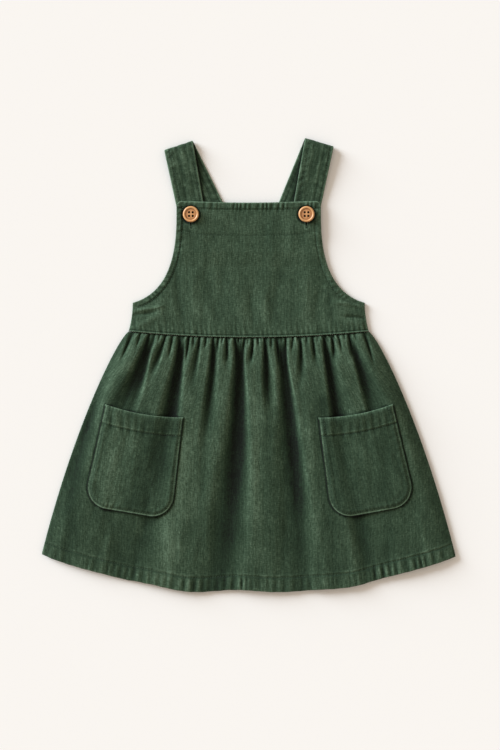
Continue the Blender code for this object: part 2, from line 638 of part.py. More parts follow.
# ---------------------------------------------------------------- buttons
def button_profile():
    """Radius and height from the middle of the dish, over the rim and down to the flat back."""
    rim = BUTTON_DIAMETER / 2
    top = BUTTON_THICKNESS
    dish = top - BUTTON_DISH_DEPTH
    return [
        (0.0, dish - 0.2 * MM),
        (BUTTON_DISH_RADIUS - 0.9 * MM, dish),
        (BUTTON_DISH_RADIUS, top - 0.2 * MM),
        (BUTTON_DISH_RADIUS + 0.7 * MM, top),
        (rim - 1.1 * MM, top - 0.15 * MM),
        (rim - 0.2 * MM, top - 0.9 * MM),
        (rim, top - 1.6 * MM),
        (rim - 0.8 * MM, 0.5 * MM),
        (rim - 2.2 * MM, 0.0),
        (0.0, 0.0),
    ]


def ring(bm, radius, height):
    """A ring of a turned shape, or one point on its axis."""
    if radius == 0.0:
        return [bm.verts.new((0.0, 0.0, height))]
    angles = [2 * math.pi * i / BUTTON_SIDES for i in range(BUTTON_SIDES)]
    return [bm.verts.new((radius * math.cos(a), radius * math.sin(a), height)) for a in angles]


def button(name, side, wood):
    bm = bmesh.new()
    rings = [ring(bm, radius, height) for radius, height in button_profile()]
    for near, far in zip(rings, rings[1:]):
        for i in range(BUTTON_SIDES):
            j = (i + 1) % BUTTON_SIDES
            loop = [near[i % len(near)], far[i % len(far)], far[j % len(far)], near[j % len(near)]]
            bm.faces.new(list(dict.fromkeys(loop)))
    bmesh.ops.recalc_face_normals(bm, faces=bm.faces)
    mesh = bpy.data.meshes.new(name)
    bm.to_mesh(mesh)
    bm.free()
    made = add_object(name, mesh, wood)
    lies_on = float(bib_height(BUTTON_X, BUTTON_Y, BUTTON_X)) + BAND_RISE + SEAM_GAP
    made.location = (side * BUTTON_X, BUTTON_Y, lies_on)
    for row in (-1, 1):
        for column_side in (-1, 1):
            cut_thread_hole(made, row, column_side)
    return made


def cut_thread_hole(made, row, column_side):
    bm = bmesh.new()
    radius = BUTTON_HOLE_DIAMETER / 2
    bmesh.ops.create_cone(
        bm,
        cap_ends=True,
        segments=BUTTON_HOLE_SIDES,
        radius1=radius,
        radius2=radius,
        depth=3 * BUTTON_THICKNESS,
    )
    aside = BUTTON_HOLE_SPACING / 2
    place = (column_side * aside, row * aside, BUTTON_THICKNESS / 2)
    add_cutter(made, f"{made.name}_hole_{row + 1}{column_side + 1}", bm, place)


# ---------------------------------------------------------------- the dress
def main():
    remove_startup_objects()
    cloth = material("green_cloth", GREEN, 0.9)
    wood = material("button_wood", BUTTON_WOOD, 0.5)
    pieces = [skirt_back(cloth), skirt_front(cloth), bodice_back(cloth), bodice_front(cloth)]
    pieces += [strap(piece, cloth) for piece in STRAPS]
    pieces += [pocket(piece, cloth) for piece in POCKETS]
    pieces += [button("button_left", -1, wood), button("button_right", 1, wood)]
    dress = bpy.data.objects.new("pinafore_dress", None)
    bpy.context.scene.collection.objects.link(dress)
    for piece in pieces:
        piece.parent = dress


main()
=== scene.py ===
# %% [markdown]
# # A child's pinafore dress, laid flat
#
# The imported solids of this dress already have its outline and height. What they lack is cloth:
# fine folds, turned hems, puckers, stitches and a woven surface. Each cell makes one of these.
# Sizes are in millimetres, in the solids' frame, until a piece becomes a mesh.

import math
from collections import namedtuple
from functools import partial, reduce

import bmesh
import bpy
import numpy as np
from mathutils import Matrix, Vector
from mathutils.bvhtree import BVHTree


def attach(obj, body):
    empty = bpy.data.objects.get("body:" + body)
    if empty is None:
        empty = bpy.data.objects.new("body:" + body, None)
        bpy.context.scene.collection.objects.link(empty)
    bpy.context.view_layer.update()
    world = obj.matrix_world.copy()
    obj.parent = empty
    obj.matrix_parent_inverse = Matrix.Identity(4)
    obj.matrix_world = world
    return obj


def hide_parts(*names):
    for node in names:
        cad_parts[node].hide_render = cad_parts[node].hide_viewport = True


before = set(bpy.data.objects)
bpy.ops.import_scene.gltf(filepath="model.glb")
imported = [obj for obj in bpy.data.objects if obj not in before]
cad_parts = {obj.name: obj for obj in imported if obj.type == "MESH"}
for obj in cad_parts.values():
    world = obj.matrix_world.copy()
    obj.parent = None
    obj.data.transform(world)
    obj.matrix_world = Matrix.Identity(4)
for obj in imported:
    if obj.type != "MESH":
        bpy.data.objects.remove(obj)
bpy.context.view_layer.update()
MM = 0.001
print("solids:", len(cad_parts))

# %% [markdown]
# ## Camera and light
#
# The dress lies on a pale floor, and the camera hangs far above it, so that nothing leans
# outwards. The main light is broad, from the upper left, and low enough to graze the cloth,
# because grazing light shows folds, puckers and weave. A pale surround fills the shadows. A few
# area lights would do too, but a sun lights the whole floor evenly.

# %% Camera, floor and lights
PICTURE_HEIGHT = 0.825  # in metres, as all sizes in this cell
PICTURE_CENTRE = (0.00143, -0.00935)
CAMERA_HEIGHT = 2.6
FLOOR_HALF = 3.0
FLOOR_Z = -0.0004


def srgb(code):
    """A hex colour as linear red, green, blue and alpha."""
    parts = [int(code[i : i + 2], 16) / 255 for i in (1, 3, 5)]
    linear = [c / 12.92 if c <= 0.04045 else ((c + 0.055) / 1.055) ** 2.4 for c in parts]
    return (*linear, 1.0)


def link(name, data):
    """A new object in the scene, at its origin."""
    made = bpy.data.objects.new(name, data)
    bpy.context.scene.collection.objects.link(made)
    return made


def add_node(tree, kind, inputs=(), output=0, **settings):
    """Add a node with its settings, link or set its inputs, and return one of its outputs."""
    node = tree.nodes.new(kind)
    for name, value in settings.items():
        setattr(node, name, value)
    for socket, source in dict(inputs).items():
        if isinstance(source, bpy.types.NodeSocket):
            tree.links.new(source, node.inputs[socket])
        else:
            node.inputs[socket].default_value = source
    return node.outputs[output] if node.outputs else node


def new_material(name):
    """An empty material, and the function that adds a node to it."""
    made = bpy.data.materials.new(name)
    made.use_nodes = True
    made.node_tree.nodes.clear()
    return made, partial(add_node, made.node_tree)


def finish_material(made, add, inputs):
    """Close a material with a Principled shader that has these inputs."""
    shader = add("ShaderNodeBsdfPrincipled", inputs)
    add("ShaderNodeOutputMaterial", {"Surface": shader})
    return made


def add_camera():
    data = bpy.data.cameras.new("camera")
    data.sensor_fit = "VERTICAL"
    data.sensor_height = 24.0
    data.lens = data.sensor_height * CAMERA_HEIGHT / PICTURE_HEIGHT
    data.clip_end = 10.0
    camera = link("camera", data)
    camera.location = (*PICTURE_CENTRE, CAMERA_HEIGHT)
    bpy.context.scene.camera = camera


def add_sun(azimuth, elevation, strength, softness, colour):
    """A sun that shines from an azimuth, measured from +X towards +Y, and an elevation."""
    data = bpy.data.lights.new("window", "SUN")
    data.energy = strength
    data.angle = math.radians(softness)
    data.color = srgb(colour)[:3]
    a, e = math.radians(azimuth), math.radians(elevation)
    way = Vector((math.cos(a) * math.cos(e), math.sin(a) * math.cos(e), math.sin(e)))
    link("window", data).rotation_euler = way.to_track_quat("Z", "Y").to_euler()


def add_floor():
    made, add = new_material("matt_white_paper")
    paper = {"Base Color": srgb("#f2f3f2"), "Roughness": 0.95, "Specular IOR Level": 0.1}
    mesh = bpy.data.meshes.new("floor")
    signs = ((-1, -1), (1, -1), (1, 1), (-1, 1))
    corners = [(x * FLOOR_HALF, y * FLOOR_HALF, FLOOR_Z) for x, y in signs]
    mesh.from_pydata(corners, [], [(0, 1, 2, 3)])
    mesh.materials.append(finish_material(made, add, paper))
    link("floor", mesh)


def add_surround():
    world = bpy.data.worlds.new("studio")
    world.use_nodes = True
    light = world.node_tree.nodes["Background"]
    light.inputs["Color"].default_value = srgb("#ffeddb")
    light.inputs["Strength"].default_value = 0.60
    bpy.context.scene.world = world


add_camera()
add_floor()
add_surround()
add_sun(azimuth=149.0, elevation=15.5, strength=6.6, softness=34.0, colour="#edf6ff")
bpy.context.scene.view_settings.view_transform = "Standard"
bpy.context.scene.view_settings.look = "None"
print("picture:", PICTURE_HEIGHT, "m high")

# %% [markdown]
# ## The cloth
#
# The dress is sewn from a washed linen and cotton cloth in bottle green. Its yarns are spun
# unevenly, so single threads run through it as paler and darker streaks. Piece dyeing and
# washing leave soft patches, and rub the colour off edges and fold crests. The pattern follows
# the piece's own UV map, which holds metres of flat cloth, so it gathers where the cloth
# gathers. A float attribute makes each piece paler above zero and darker below it. It holds
# that wear, and painted light besides: crests paler, partly as painted highlights, and painted
# shade in folds, clefts, grooves, seams, under overlapping pieces and round pockets and buttons.

# %% Cloth, thread and wood materials
Grain = namedtuple("Grain", "across along detail roughness low high weight")
THREADS = [  # millimetres across and along the warp, drawn coarser than real ones to show
    Grain(1.0, 5.0, 2, 0.5, 0.30, 0.70, 0.15),  # thick places in the yarns
    Grain(0.7, 5.0, 2, 0.6, 0.30, 0.70, 0.45),  # the warp
    Grain(5.0, 0.75, 2, 0.6, 0.30, 0.70, 0.46),  # the weft
    Grain(0.9, 12.0, 1, 0.5, 0.60, 0.74, 0.14),  # slubs
]
WASHED = [
    Grain(8.0, 12.0, 3, 0.5, 0.28, 0.72, 0.15),  # patches
    Grain(22.0, 34.0, 2, 0.5, 0.30, 0.70, 0.22),  # clouds
]
RIB_PERIOD = 3.8  # ridges of the weave, drawn six times too coarse so that they show
# Near black green: the cloth's colour where the most shade is painted, in deep clefts, seam lines,
# slits and round the pockets.
CLOTH_IN_PAINTED_SHADE = "#0c130e"
CLOTH_TONES = [(-0.31, 0.29, "#1e3021"), (0.35, 0.83, "#354937"), (0.83, 1.34, "#5a715c")]


def add_grains(add, cloth_mm, tone, grains):
    """Add layers of stretched noise to a tone."""
    for grain in grains:
        scale = (1 / grain.across, 1 / grain.along, 1.0)
        place = add("ShaderNodeMapping", {"Vector": cloth_mm, "Scale": scale})
        inputs = {"Vector": place, "Scale": 1.0, "Detail": grain.detail}
        inputs["Roughness"] = grain.roughness
        noise = add("ShaderNodeTexNoise", inputs, "Fac")
        inputs = {"Value": noise, "From Min": grain.low, "From Max": grain.high}
        share = add("ShaderNodeMapRange", inputs)
        inputs = {0: share, 1: grain.weight, 2: tone}
        tone = add("ShaderNodeMath", inputs, operation="MULTIPLY_ADD")
    return tone


def blend(add, colour, steps):
    """Each step mixes one more colour in, as a value goes from low to high."""
    for value, low, high, code in steps:
        share = add("ShaderNodeMapRange", {"Value": value, "From Min": low, "From Max": high})
        inputs = {0: share, 6: colour, 7: srgb(code)}
        colour = add("ShaderNodeMix", inputs, 2, data_type="RGBA")
    return colour


def make_cloth():
    made, add = new_material("washed_linen_cotton_bottle_green")
    uv = add("ShaderNodeUVMap", uv_map="cloth")
    cloth_mm = add("ShaderNodeMapping", {"Vector": uv, "Scale": (1000.0, 1000.0, 1.0)})
    place = add("ShaderNodeMapping", {"Vector": cloth_mm, "Scale": (1.0, 0.16, 1.0)})
    inputs = {"Vector": place, "Scale": math.pi / 10 / RIB_PERIOD, "Distortion": 7.0}
    inputs.update({"Detail": 2.0, "Detail Scale": 3.0})
    ribs = add("ShaderNodeTexWave", inputs, "Fac", bands_direction="X")
    weave = add("ShaderNodeMath", {0: ribs, 1: 0.14}, operation="MULTIPLY")
    weave = add_grains(add, cloth_mm, weave, THREADS)
    tone = add_grains(add, cloth_mm, weave, WASHED)
    # Wear and painted light: the attribute makes the tone paler above zero and darker below it, down
    # to the near black of painted shade.
    wear_and_painted_shade = add("ShaderNodeAttribute", output="Fac", attribute_name="wear_and_painted_shade")
    tone = add("ShaderNodeMath", {0: wear_and_painted_shade, 1: 0.55, 2: tone}, operation="MULTIPLY_ADD")
    inputs = {
        "Base Color": blend(add, srgb(CLOTH_IN_PAINTED_SHADE), [(tone, *step) for step in CLOTH_TONES]),
        "Normal": add("ShaderNodeBump", {"Height": weave, "Strength": 0.6, "Distance": 0.5 * MM}),
        "Roughness": 0.92,
        "Specular IOR Level": 0.18,
        "Sheen Weight": 0.10,
        "Sheen Roughness": 0.45,
        "Sheen Tint": srgb("#c9d8c2"),
    }
    return finish_material(made, add, inputs)


def make_thread():
    """Spun polyester sewing thread, dyed to match, so a little smoother than the cloth."""
    made, add = new_material("spun_polyester_thread_green")
    place = add("ShaderNodeTexCoord", output="Object")
    inputs = {"Vector": place, "Scale": 1 / (0.5 * MM), "Detail": 1.0}
    ply = add("ShaderNodeTexNoise", inputs, "Fac")
    colour = blend(add, srgb("#2a3b2d"), [(ply, 0.0, 1.0, "#48604a")])
    inputs = {"Base Color": colour, "Roughness": 0.75, "Specular IOR Level": 0.3}
    return finish_material(made, add, inputs)


def make_wood():
    """Turned beech, lightly waxed: fine long grain, short dark rays, a soft shine."""
    made, add = new_material("turned_beech_waxed")
    inputs = {
        "Vector": add("ShaderNodeTexCoord", output="Object"),
        "Rotation": (0.0, 0.0, math.radians(24.0)),
        "Scale": (1 / (0.9 * MM), 1 / (7.0 * MM), 1 / (2.0 * MM)),
    }
    place = add("ShaderNodeMapping", inputs)
    grain = add("ShaderNodeTexNoise", {"Vector": place, "Scale": 1.0, "Detail": 3.0}, "Fac")
    grain = add("ShaderNodeMapRange", {"Value": grain, "From Min": 0.35, "From Max": 0.68})
    # The buttons' attribute paints the wood: a painted highlight on the rim's crest and the dome,
    # painted shade in the groove and underneath.
    wear_and_painted_shade = add("ShaderNodeAttribute", output="Fac", attribute_name="wear_and_painted_shade")
    steps = [(grain, 0, 1, "#d3a06b"), (wear_and_painted_shade, 0, -1, "#8d5a33"), (wear_and_painted_shade, 0, 1, "#d0a06a")]
    inputs = {
        "Base Color": blend(add, srgb("#b3794a"), steps),
        "Normal": add("ShaderNodeBump", {"Height": grain, "Strength": 0.25, "Distance": 0.08 * MM}),
        "Roughness": 0.46,
        "Coat Weight": 0.12,
        "Coat Roughness": 0.35,
    }
    return finish_material(made, add, inputs)


def make_hole_shade():
    """The drilled holes' walls, and the thread stubs in them, near black: painted shade in the holes.
    """
    made, add = new_material("beech_holes_painted_shade")
    return finish_material(made, add, {"Base Color": srgb("#070403"), "Roughness": 0.85})


cloth_material = make_cloth()
hole_shade_material = make_hole_shade()
thread_material = make_thread()
wood_material = make_wood()
print("materials:", cloth_material.name, thread_material.name, wood_material.name)

# %% [markdown]
# ## How every cloth piece is made
#
# A laid piece of cloth is nearly a height for each place, so each piece here is a fine grid of
# places with a height worked out from named sizes. Its underside is the same grid, one wall
# lower, and the two meet in a half round at the edges, as a turned hem does. Soft noise, which
# is seeded, gives the small unevenness of washed cloth. The solids' sizes are repeated here,
# since this script can't read the file that made them.

# %% Sizes and helpers for cloth
CLOTH = 1.2
STRAP_CLOTH = 1.6
SEAM_GAP = 0.3
BAND_RISE = 0.45
SIDE_TOP = 2 * CLOTH + SEAM_GAP
EDGE_STEPS = np.array([0.0, 0.05, 0.2, 0.5, 0.9])  # close rows round an edge
EDGE_REACH = 0.62  # how far a rounded edge reaches inwards, as a share of the wall
FRONT_ON_BOLT, BACK_ON_BOLT = 250, 750  # where on the cloth each side is cut from
FINE_STEP = 0.25  # spacing of the points that a line is measured at
NOISE_CELLS = 97  # after so many cells the noise repeats
NOISE_START = (31.7, 17.3)


def smoothstep(low, high, value):
    """0 below low, 1 above high, and a smooth rise between; high may be below low."""
    share = np.clip((np.asarray(value, float) - low) / (high - low), 0.0, 1.0)
    return share * share * (3 - 2 * share)


def soft_max(first, second, softness):
    return 0.5 * (first + second + np.sqrt((first - second) ** 2 + softness**2))


def roll_off(distance, width):
    """A soft rounded edge: 0 at the edge, 1 from the given width inwards."""
    return np.sin(np.clip(distance / width, 0.0, 1.0) * math.pi / 2)


def bump(distance, width):
    """1 on a line, falling to nothing a little over one width from it."""
    return np.exp(-((distance / width) ** 2))


def soft_noise(x, y, cell_x, cell_y, seed):
    """Smooth noise from -1 to 1: random values on a grid of cells, blended."""
    values = np.random.default_rng(seed).uniform(-1, 1, (NOISE_CELLS, NOISE_CELLS))
    gx, gy = np.broadcast_arrays(x / cell_x + NOISE_START[0], y / cell_y + NOISE_START[1])
    ix, iy = np.floor(gx).astype(int), np.floor(gy).astype(int)
    fx, fy = gx - ix, gy - iy
    fx, fy = fx * fx * (3 - 2 * fx), fy * fy * (3 - 2 * fy)

    def along_row(j):
        near, far = (values[(ix + i) % NOISE_CELLS, (iy + j) % NOISE_CELLS] for i in (0, 1))
        return near * (1 - fx) + far * fx

    return along_row(0) * (1 - fy) + along_row(1) * fy


def crumple(x, y, *layers):
    """Layers of soft noise: each has a height, a cell's width and length, and a seed."""
    return sum(height * soft_noise(x, y, *cell_and_seed) for height, *cell_and_seed in layers)


def puckers(along, away, period, reach, seed, slant=0.12, uneven=0.4):
    """Puffed ridges, about -1 to 1, that cross a seam: drawn up by its stitches and uneven."""
    unevenness = soft_noise(along, 0 * along, 1.7 * period, 1.0, seed)
    phase = (along + slant * away) / period + uneven * unevenness
    strength = 1 - uneven + uneven * soft_noise(along, 0 * along, 2.6 * period, 1.0, seed + 1)
    wave = np.sin(2 * math.pi * phase)
    return strength * (wave - 0.35 * wave**2 + 0.17) * bump(away, reach)


def crease_height(creases, x, y):
    """Creases, and bands of painted highlight and shade, listed one by one, each bowed a little and
    tapering towards both ends.
    """
    total = np.zeros(np.shape(x))
    for x0, y0, x1, y1, width, height in creases:
        length = math.hypot(x1 - x0, y1 - y0)
        way = (x1 - x0) / length, (y1 - y0) / length
        along = ((x - x0) * way[0] + (y - y0) * way[1]) / length
        away = (x - x0) * way[1] - (y - y0) * way[0]
        bowed = away - 0.03 * length * np.sin(math.pi * np.clip(along, 0, 1))
        taper = smoothstep(-0.1, 0.3, along) * smoothstep(1.1, 0.7, along)
        total += height * taper * bump(bowed, width)
    return total


def resample(line, spacing):
    """Points along a line, spacing apart."""
    steps = np.linalg.norm(np.diff(line, axis=0), axis=1)
    at = np.concatenate([[0.0], np.cumsum(steps)])
    places = np.linspace(0, at[-1], max(2, int(round(at[-1] / spacing)) + 1))
    return np.stack([np.interp(places, at, line[:, i]) for i in range(line.shape[1])], axis=1)


def distance_to(line, x, y):
    """Distance from each place to a line, and how far along the line that is."""
    fine = resample(line, FINE_STEP)
    flat = np.stack([np.ravel(x), np.ravel(y)], axis=1)
    nearest, index = [], []
    for part in np.array_split(flat, 1 + len(flat) // 4000):  # in parts, to spare memory
        square = (part[:, :1] - fine[:, 0]) ** 2 + (part[:, 1:] - fine[:, 1]) ** 2
        nearest.append(np.sqrt(square.min(axis=1)))
        index.append(square.argmin(axis=1))
    along = np.concatenate(index) * np.linalg.norm(fine[1] - fine[0])
    return np.concatenate(nearest).reshape(np.shape(x)), along.reshape(np.shape(x))


def crests(height, reach):
    """How far each place stands above its neighbours along the row."""
    wide = np.pad(height, ((0, 0), (reach, reach)), mode="edge")
    return height - 0.5 * (wide[:, : height.shape[1]] + wide[:, 2 * reach :])


def edge_round(thickness, *distances):
    """Half the wall's thickness, rounded to nothing at the nearest of the edges."""
    share = np.clip(reduce(np.minimum, distances) / (EDGE_REACH * thickness), 0.0, 1.0)
    return 0.5 * thickness * np.sqrt(1 - (1 - share) ** 2)


def side_spread(count, half):
    """Shares from -1 to 1 with close ones round both edges."""
    close = 1 - EDGE_STEPS / half
    inner = np.linspace(-close[-1], close[-1], count)[1:-1]
    return np.concatenate([-close, inner, close[::-1]])


def cloth_shell(name, above, below, uv, wear_and_painted_shade):
    """A closed thin shell from two grids, each x, y and z, which meet along their border."""
    above, below = np.stack(above, axis=-1), np.stack(below, axis=-1)
    rows, columns = above.shape[:2]
    inner = np.zeros((rows, columns), bool)
    inner[1:-1, 1:-1] = True
    above[~inner] = (above[~inner] + below[~inner]) / 2
    places = np.concatenate([above.reshape(-1, 3), below[inner]]) * MM
    top = np.arange(rows * columns).reshape(rows, columns)
    bottom = top.copy()
    bottom[inner] = rows * columns + np.arange(inner.sum())
    way = np.cross(above[1, 0] - above[0, 0], above[0, columns // 2] - above[0, 0])
    faces = []
    for grid, turned in ((top, way[2] < 0), (bottom, way[2] >= 0)):
        corners = [grid[:-1, :-1], grid[1:, :-1], grid[1:, 1:], grid[:-1, 1:]]
        quads = np.stack(corners, axis=-1).reshape(-1, 4)
        faces.append(quads[:, [0, 3, 2, 1]] if turned else quads)
    faces = np.concatenate(faces)
    mesh = bpy.data.meshes.new(name)
    mesh.from_pydata(places.tolist(), [], faces.tolist())
    mesh.validate()
    flat = np.concatenate([uv.reshape(-1, 2), uv[inner]]) * MM
    mesh.uv_layers.new(name="cloth").data.foreach_set("uv", flat[faces.ravel()].ravel())
    wear_and_shade = np.concatenate([wear_and_painted_shade.ravel(), wear_and_painted_shade[inner]])
    mesh.attributes.new("wear_and_painted_shade", "FLOAT", "POINT").data.foreach_set("value", wear_and_shade)
    mesh.shade_smooth()
    mesh.materials.append(cloth_material)
    print(f"{name}: {rows} by {columns} places, {2 * len(faces)} triangles")
    return link(name, mesh)


# %% [markdown]
# ## The skirt's outline and its gathers
#
# A running thread draws the skirt's top edge up to the waist's width, so the surplus stands up
# in gathers: puffed ridges, with narrow clefts between them that are deepest just under the
# seam. Most clefts die away within a hand's breadth, and a few run on as broad troughs right
# down to the hem. Each is a row of a table, found at its place, and the rest is one rule. A
# cloth simulation would give other folds each time it is changed, and not these.

# %% Outline of the skirt, and its tables of folds
WAIST_HALF = 132.0
WAIST_SIDE_Y = 38.4
WAIST_MIDDLE_Y = 31.8
HEM_HALF = 227.3
HEM_SIDE_Y = -206.4
HEM_MIDDLE_Y = -247.6
SKIRT_LENGTH = WAIST_MIDDLE_Y - HEM_MIDDLE_Y
HEM_BAND = 15.4
BACK_HEM_INSET = 1.5
SKIRT_ROLL = 20.0
SKIRT_MIDDLE_HALF = 180.0
HEM_TILT = 1.3  # how much lower the hem is on the right
HEM_WAVE = (1.3, 82.7, 155.0)  # depth, place and width of the hem's broad wave
HEM_RIPPLE = (1.1, -18.0, 91.0)  # height, place and width of the ripple in its middle
CUT_HALF = 240.0  # half the width that the skirt was cut to at its hem
GATHERED = 0.35  # surplus width that is drawn into the waist seam
FLARE = (0.77, 0.645)  # how the sides curve, at the waist and at the hem
SKIRT_LOFT = [  # share of the way down, and height
    (0.0, 3.4), (0.004, 5.0), (0.014, 6.6), (0.025, 7.3), (0.05, 8.1),
    (0.12, 9.4), (0.35, 8.8), (0.7, 7.4), (1.0, 5.6),
]
Trough = namedtuple("Trough", "at_waist at_middle at_end length half end_half depth lean kept start")
TROUGHS = [  # lean 1 is steep on the right of the trough, -1 on its left
    Trough(-132, -183, -204, 280, 4.0, 8.0, 3.4, 0, 0.4, 55),
    Trough(-107, -122.5, -142, 106, 2.6, 11.0, 5.8, 1, 0.2, 0),
    Trough(-91, -101, -112, 58, 1.6, 4.2, 4.2, 1, 0, 0),
    Trough(-72.5, -96, -131, 280, 2.8, 14.0, 6.4, 0.5, 0.3, 0),
    Trough(-53.5, -59, -64.5, 66, 1.5, 3.8, 3.2, 1, 0, 0),
    Trough(-37, -43, -51, 136, 2.4, 4.6, 5.8, -0.6, 0, 0),
    Trough(-24, -24, -24.5, 42, 1.6, 3.4, 3.2, 0, 0, 0),
    Trough(-10.6, -14.5, -34, 280, 2.6, 14.0, 6.8, 0.4, 0.6, 0),
    Trough(4.9, 2.6, 0, 36, 1.4, 2.8, 3.6, 1, 0, 0),
    Trough(18.3, 20.5, 25, 98, 1.8, 5.6, 5.4, -1, 0, 0),
    Trough(34.6, 49, 56, 280, 2.8, 12.0, 6.2, 1, 0.4, 0),
    Trough(57, 57.6, 57, 64, 1.6, 3.2, 4.0, 0, 0, 0),
    Trough(69.8, 72.5, 76, 40, 1.5, 2.6, 3.2, 0, 0, 0),
    Trough(83, 108, 141, 280, 2.6, 11.0, 6.0, -2.2, 0.4, 0),
    Trough(92.8, 94.6, 98, 38, 1.4, 2.6, 3.2, 0, 0, 0),
    Trough(110.8, 132, 154, 142, 2.0, 9.0, 4.6, -2, 0, 0),
]
CLEFTS = [  # place at the waist and at the end, length, depth and width
    (-127.3, -142, 40, 3.4, 2.2), (-118.5, -124, 20, 2.6, 1.9), (-109, -116, 24, 3.4, 2.1),
    (-102.6, -108, 24, 2.8, 1.9), (-97, -100, 10, 2.0, 1.5), (-90.8, -97, 20, 2.8, 1.9),
    (-83.4, -88.8, 30, 3.0, 1.9), (-76, -79.5, 36, 4.0, 2.1), (-65.4, -70, 36, 3.8, 1.9),
    (-60.3, -61, 14, 2.4, 1.6), (-53.6, -56, 20, 3.0, 1.9), (-46, -48.5, 15, 2.6, 1.7),
    (-39.2, -40.5, 34, 3.8, 1.9), (-32.5, -35.5, 22, 3.0, 1.7), (-29, -30, 8, 2.0, 1.3),
    (-23.8, -24, 30, 3.2, 1.8), (-15.2, -13, 36, 4.0, 2.0), (-11.4, -10.6, 8, 2.0, 1.2),
    (-4.8, -6.6, 36, 3.8, 1.8), (-0.7, -0.8, 11, 2.2, 1.4), (5, 2.8, 30, 3.4, 1.8),
    (10.5, 10.8, 11, 2.2, 1.4), (17.6, 18.2, 30, 3.2, 1.8), (24.5, 25, 15, 2.6, 1.7),
    (30.4, 33, 36, 4.0, 2.0), (36, 36.2, 8, 1.8, 1.2), (40.6, 42, 44, 3.8, 1.8),
    (48.4, 46.8, 20, 2.6, 1.7), (53.2, 53.4, 8, 1.8, 1.2), (57, 57.6, 30, 3.2, 1.8),
    (63.8, 64, 11, 2.0, 1.4), (70.2, 72.8, 28, 3.0, 1.7), (75.6, 76, 9, 1.8, 1.2),
    (82.8, 84.5, 40, 3.8, 1.9), (87.4, 88.4, 11, 2.0, 1.3), (91.6, 94, 32, 3.6, 1.9),
    (98.4, 103, 24, 2.6, 1.7), (104.5, 106.5, 9, 1.8, 1.2), (109.6, 114.5, 34, 3.6, 1.9),
    (116, 119, 12, 2.0, 1.4), (126.6, 139, 44, 3.8, 2.1),
]


def skirt_half(down):
    return WAIST_HALF + (HEM_HALF - WAIST_HALF) * down ** (FLARE[0] + (FLARE[1] - FLARE[0]) * down)


def waist_y(across):
    return WAIST_MIDDLE_Y + (WAIST_SIDE_Y - WAIST_MIDDLE_Y) * across**2


def hem_y(across):
    """The hem's curve, a little lower on the right, with one broad wave and one ripple."""
    curve = HEM_MIDDLE_Y + (HEM_SIDE_Y - HEM_MIDDLE_Y) * np.abs(across) ** 2.4
    x = across * HEM_HALF
    wave, ripple = (
        size * np.cos(2 * math.pi * (x - place) / width)
        for size, place, width in (HEM_WAVE, HEM_RIPPLE)
    )
    return curve - HEM_TILT * across - wave + ripple * smoothstep(165, 120, np.abs(x))


def skirt_place(across, down, hem_inset=0.0):
    top = waist_y(across) - SEAM_GAP / 2
    low = hem_y(across) + hem_inset
    return across * skirt_half(down), top + (low - top) * down


def skirt_grain(x, down):
    """The skirt's flat cloth: its warp runs straight down, and closes up only at the gathers."""
    spread = 1 + GATHERED * smoothstep(0.35, 0.0, down)
    return np.stack([x * spread, 300 - down * SKIRT_LENGTH], axis=-1)


def skirt_shares(x, y):
    """The shares across and down that lie at a place, found step by step."""
    across = x / skirt_half(0.5)
    for _ in range(30):
        top = waist_y(across) - SEAM_GAP / 2
        down = np.clip((y - top) / (hem_y(across) - top), 0.0, 1.0)
        across = x / skirt_half(down)
    return across, down


def trough_at(trough, x, below):
    """Depth of a trough, and a bump along its two walls, below zero on the left one."""
    run = np.clip(below / trough.length, 0.0, 1.0)
    middle = trough.at_waist * (1 - run) * (1 - 2 * run) + trough.at_end * run * (2 * run - 1)
    aside = x - middle - trough.at_middle * 4 * run * (1 - run)
    half = trough.half + (trough.end_half - trough.half) * run**0.8
    slope = np.minimum(1.4 + 0.055 * below + 0.0002 * below**2, 1.0 + 1.6 * half)
    side = np.clip(aside / np.maximum(half, 0.5 * slope), -1.0, 1.0)
    slope = slope * np.maximum(0.5, 1 - 0.4 * trough.lean * side)
    wall = np.abs(aside) - half
    fall = 1 - smoothstep(0.0, 1.0, (wall / slope + 1) / 2) * (wall > -slope)
    rise = 0.25 + 0.75 * smoothstep(0, 26, below)
    if trough.start:
        rise = smoothstep(trough.start, trough.start + 60, below)
    fade = 1 - (1 - trough.kept) * smoothstep(0.35, 1.0, run)
    return trough.depth * fall * rise * fade, np.sign(aside) * bump(wall, slope)


def gathers(across, down):
    """How deep the gathers are, and how far they draw the cloth sideways."""
    x, below = np.broadcast_arrays(across * skirt_half(down), down * SKIRT_LENGTH)
    depth, pull = np.zeros(x.shape), np.zeros(x.shape)
    for trough in TROUGHS:
        deep, wall = trough_at(trough, x, below)
        depth += deep
        pull -= 0.22 * wall * np.minimum(1.0, trough.depth / 5) * smoothstep(150, 10, below)
    for at_waist, at_end, length, deep, width in CLEFTS:
        run = np.clip(below / length, 0.0, 1.0)
        aside = x - at_waist - (at_end - at_waist) * run
        soft = bump(aside, width * (1 - 0.5 * run)) * smoothstep(1.0, 0.3, run)
        depth += 1.2 * deep * soft * (0.7 + 0.3 * smoothstep(0, 4, below))
        pull -= 0.5 * aside * soft
    return depth, pull


def back_lift(across, down):
    """How far the back panel's gathers lift it off the floor. Between them it lies flat."""
    x, below = np.broadcast_arrays(-across * skirt_half(down), down * SKIRT_LENGTH)
    depth = sum(trough_at(trough, x, below)[0] for trough in TROUGHS)
    inside = smoothstep(0, SKIRT_ROLL, (1 - np.abs(across)) * skirt_half(down))
    return np.maximum(0.0, 0.38 * depth * smoothstep(0.0, 0.07, down) - 0.5) * inside


print("troughs:", len(TROUGHS), "clefts:", len(CLEFTS))
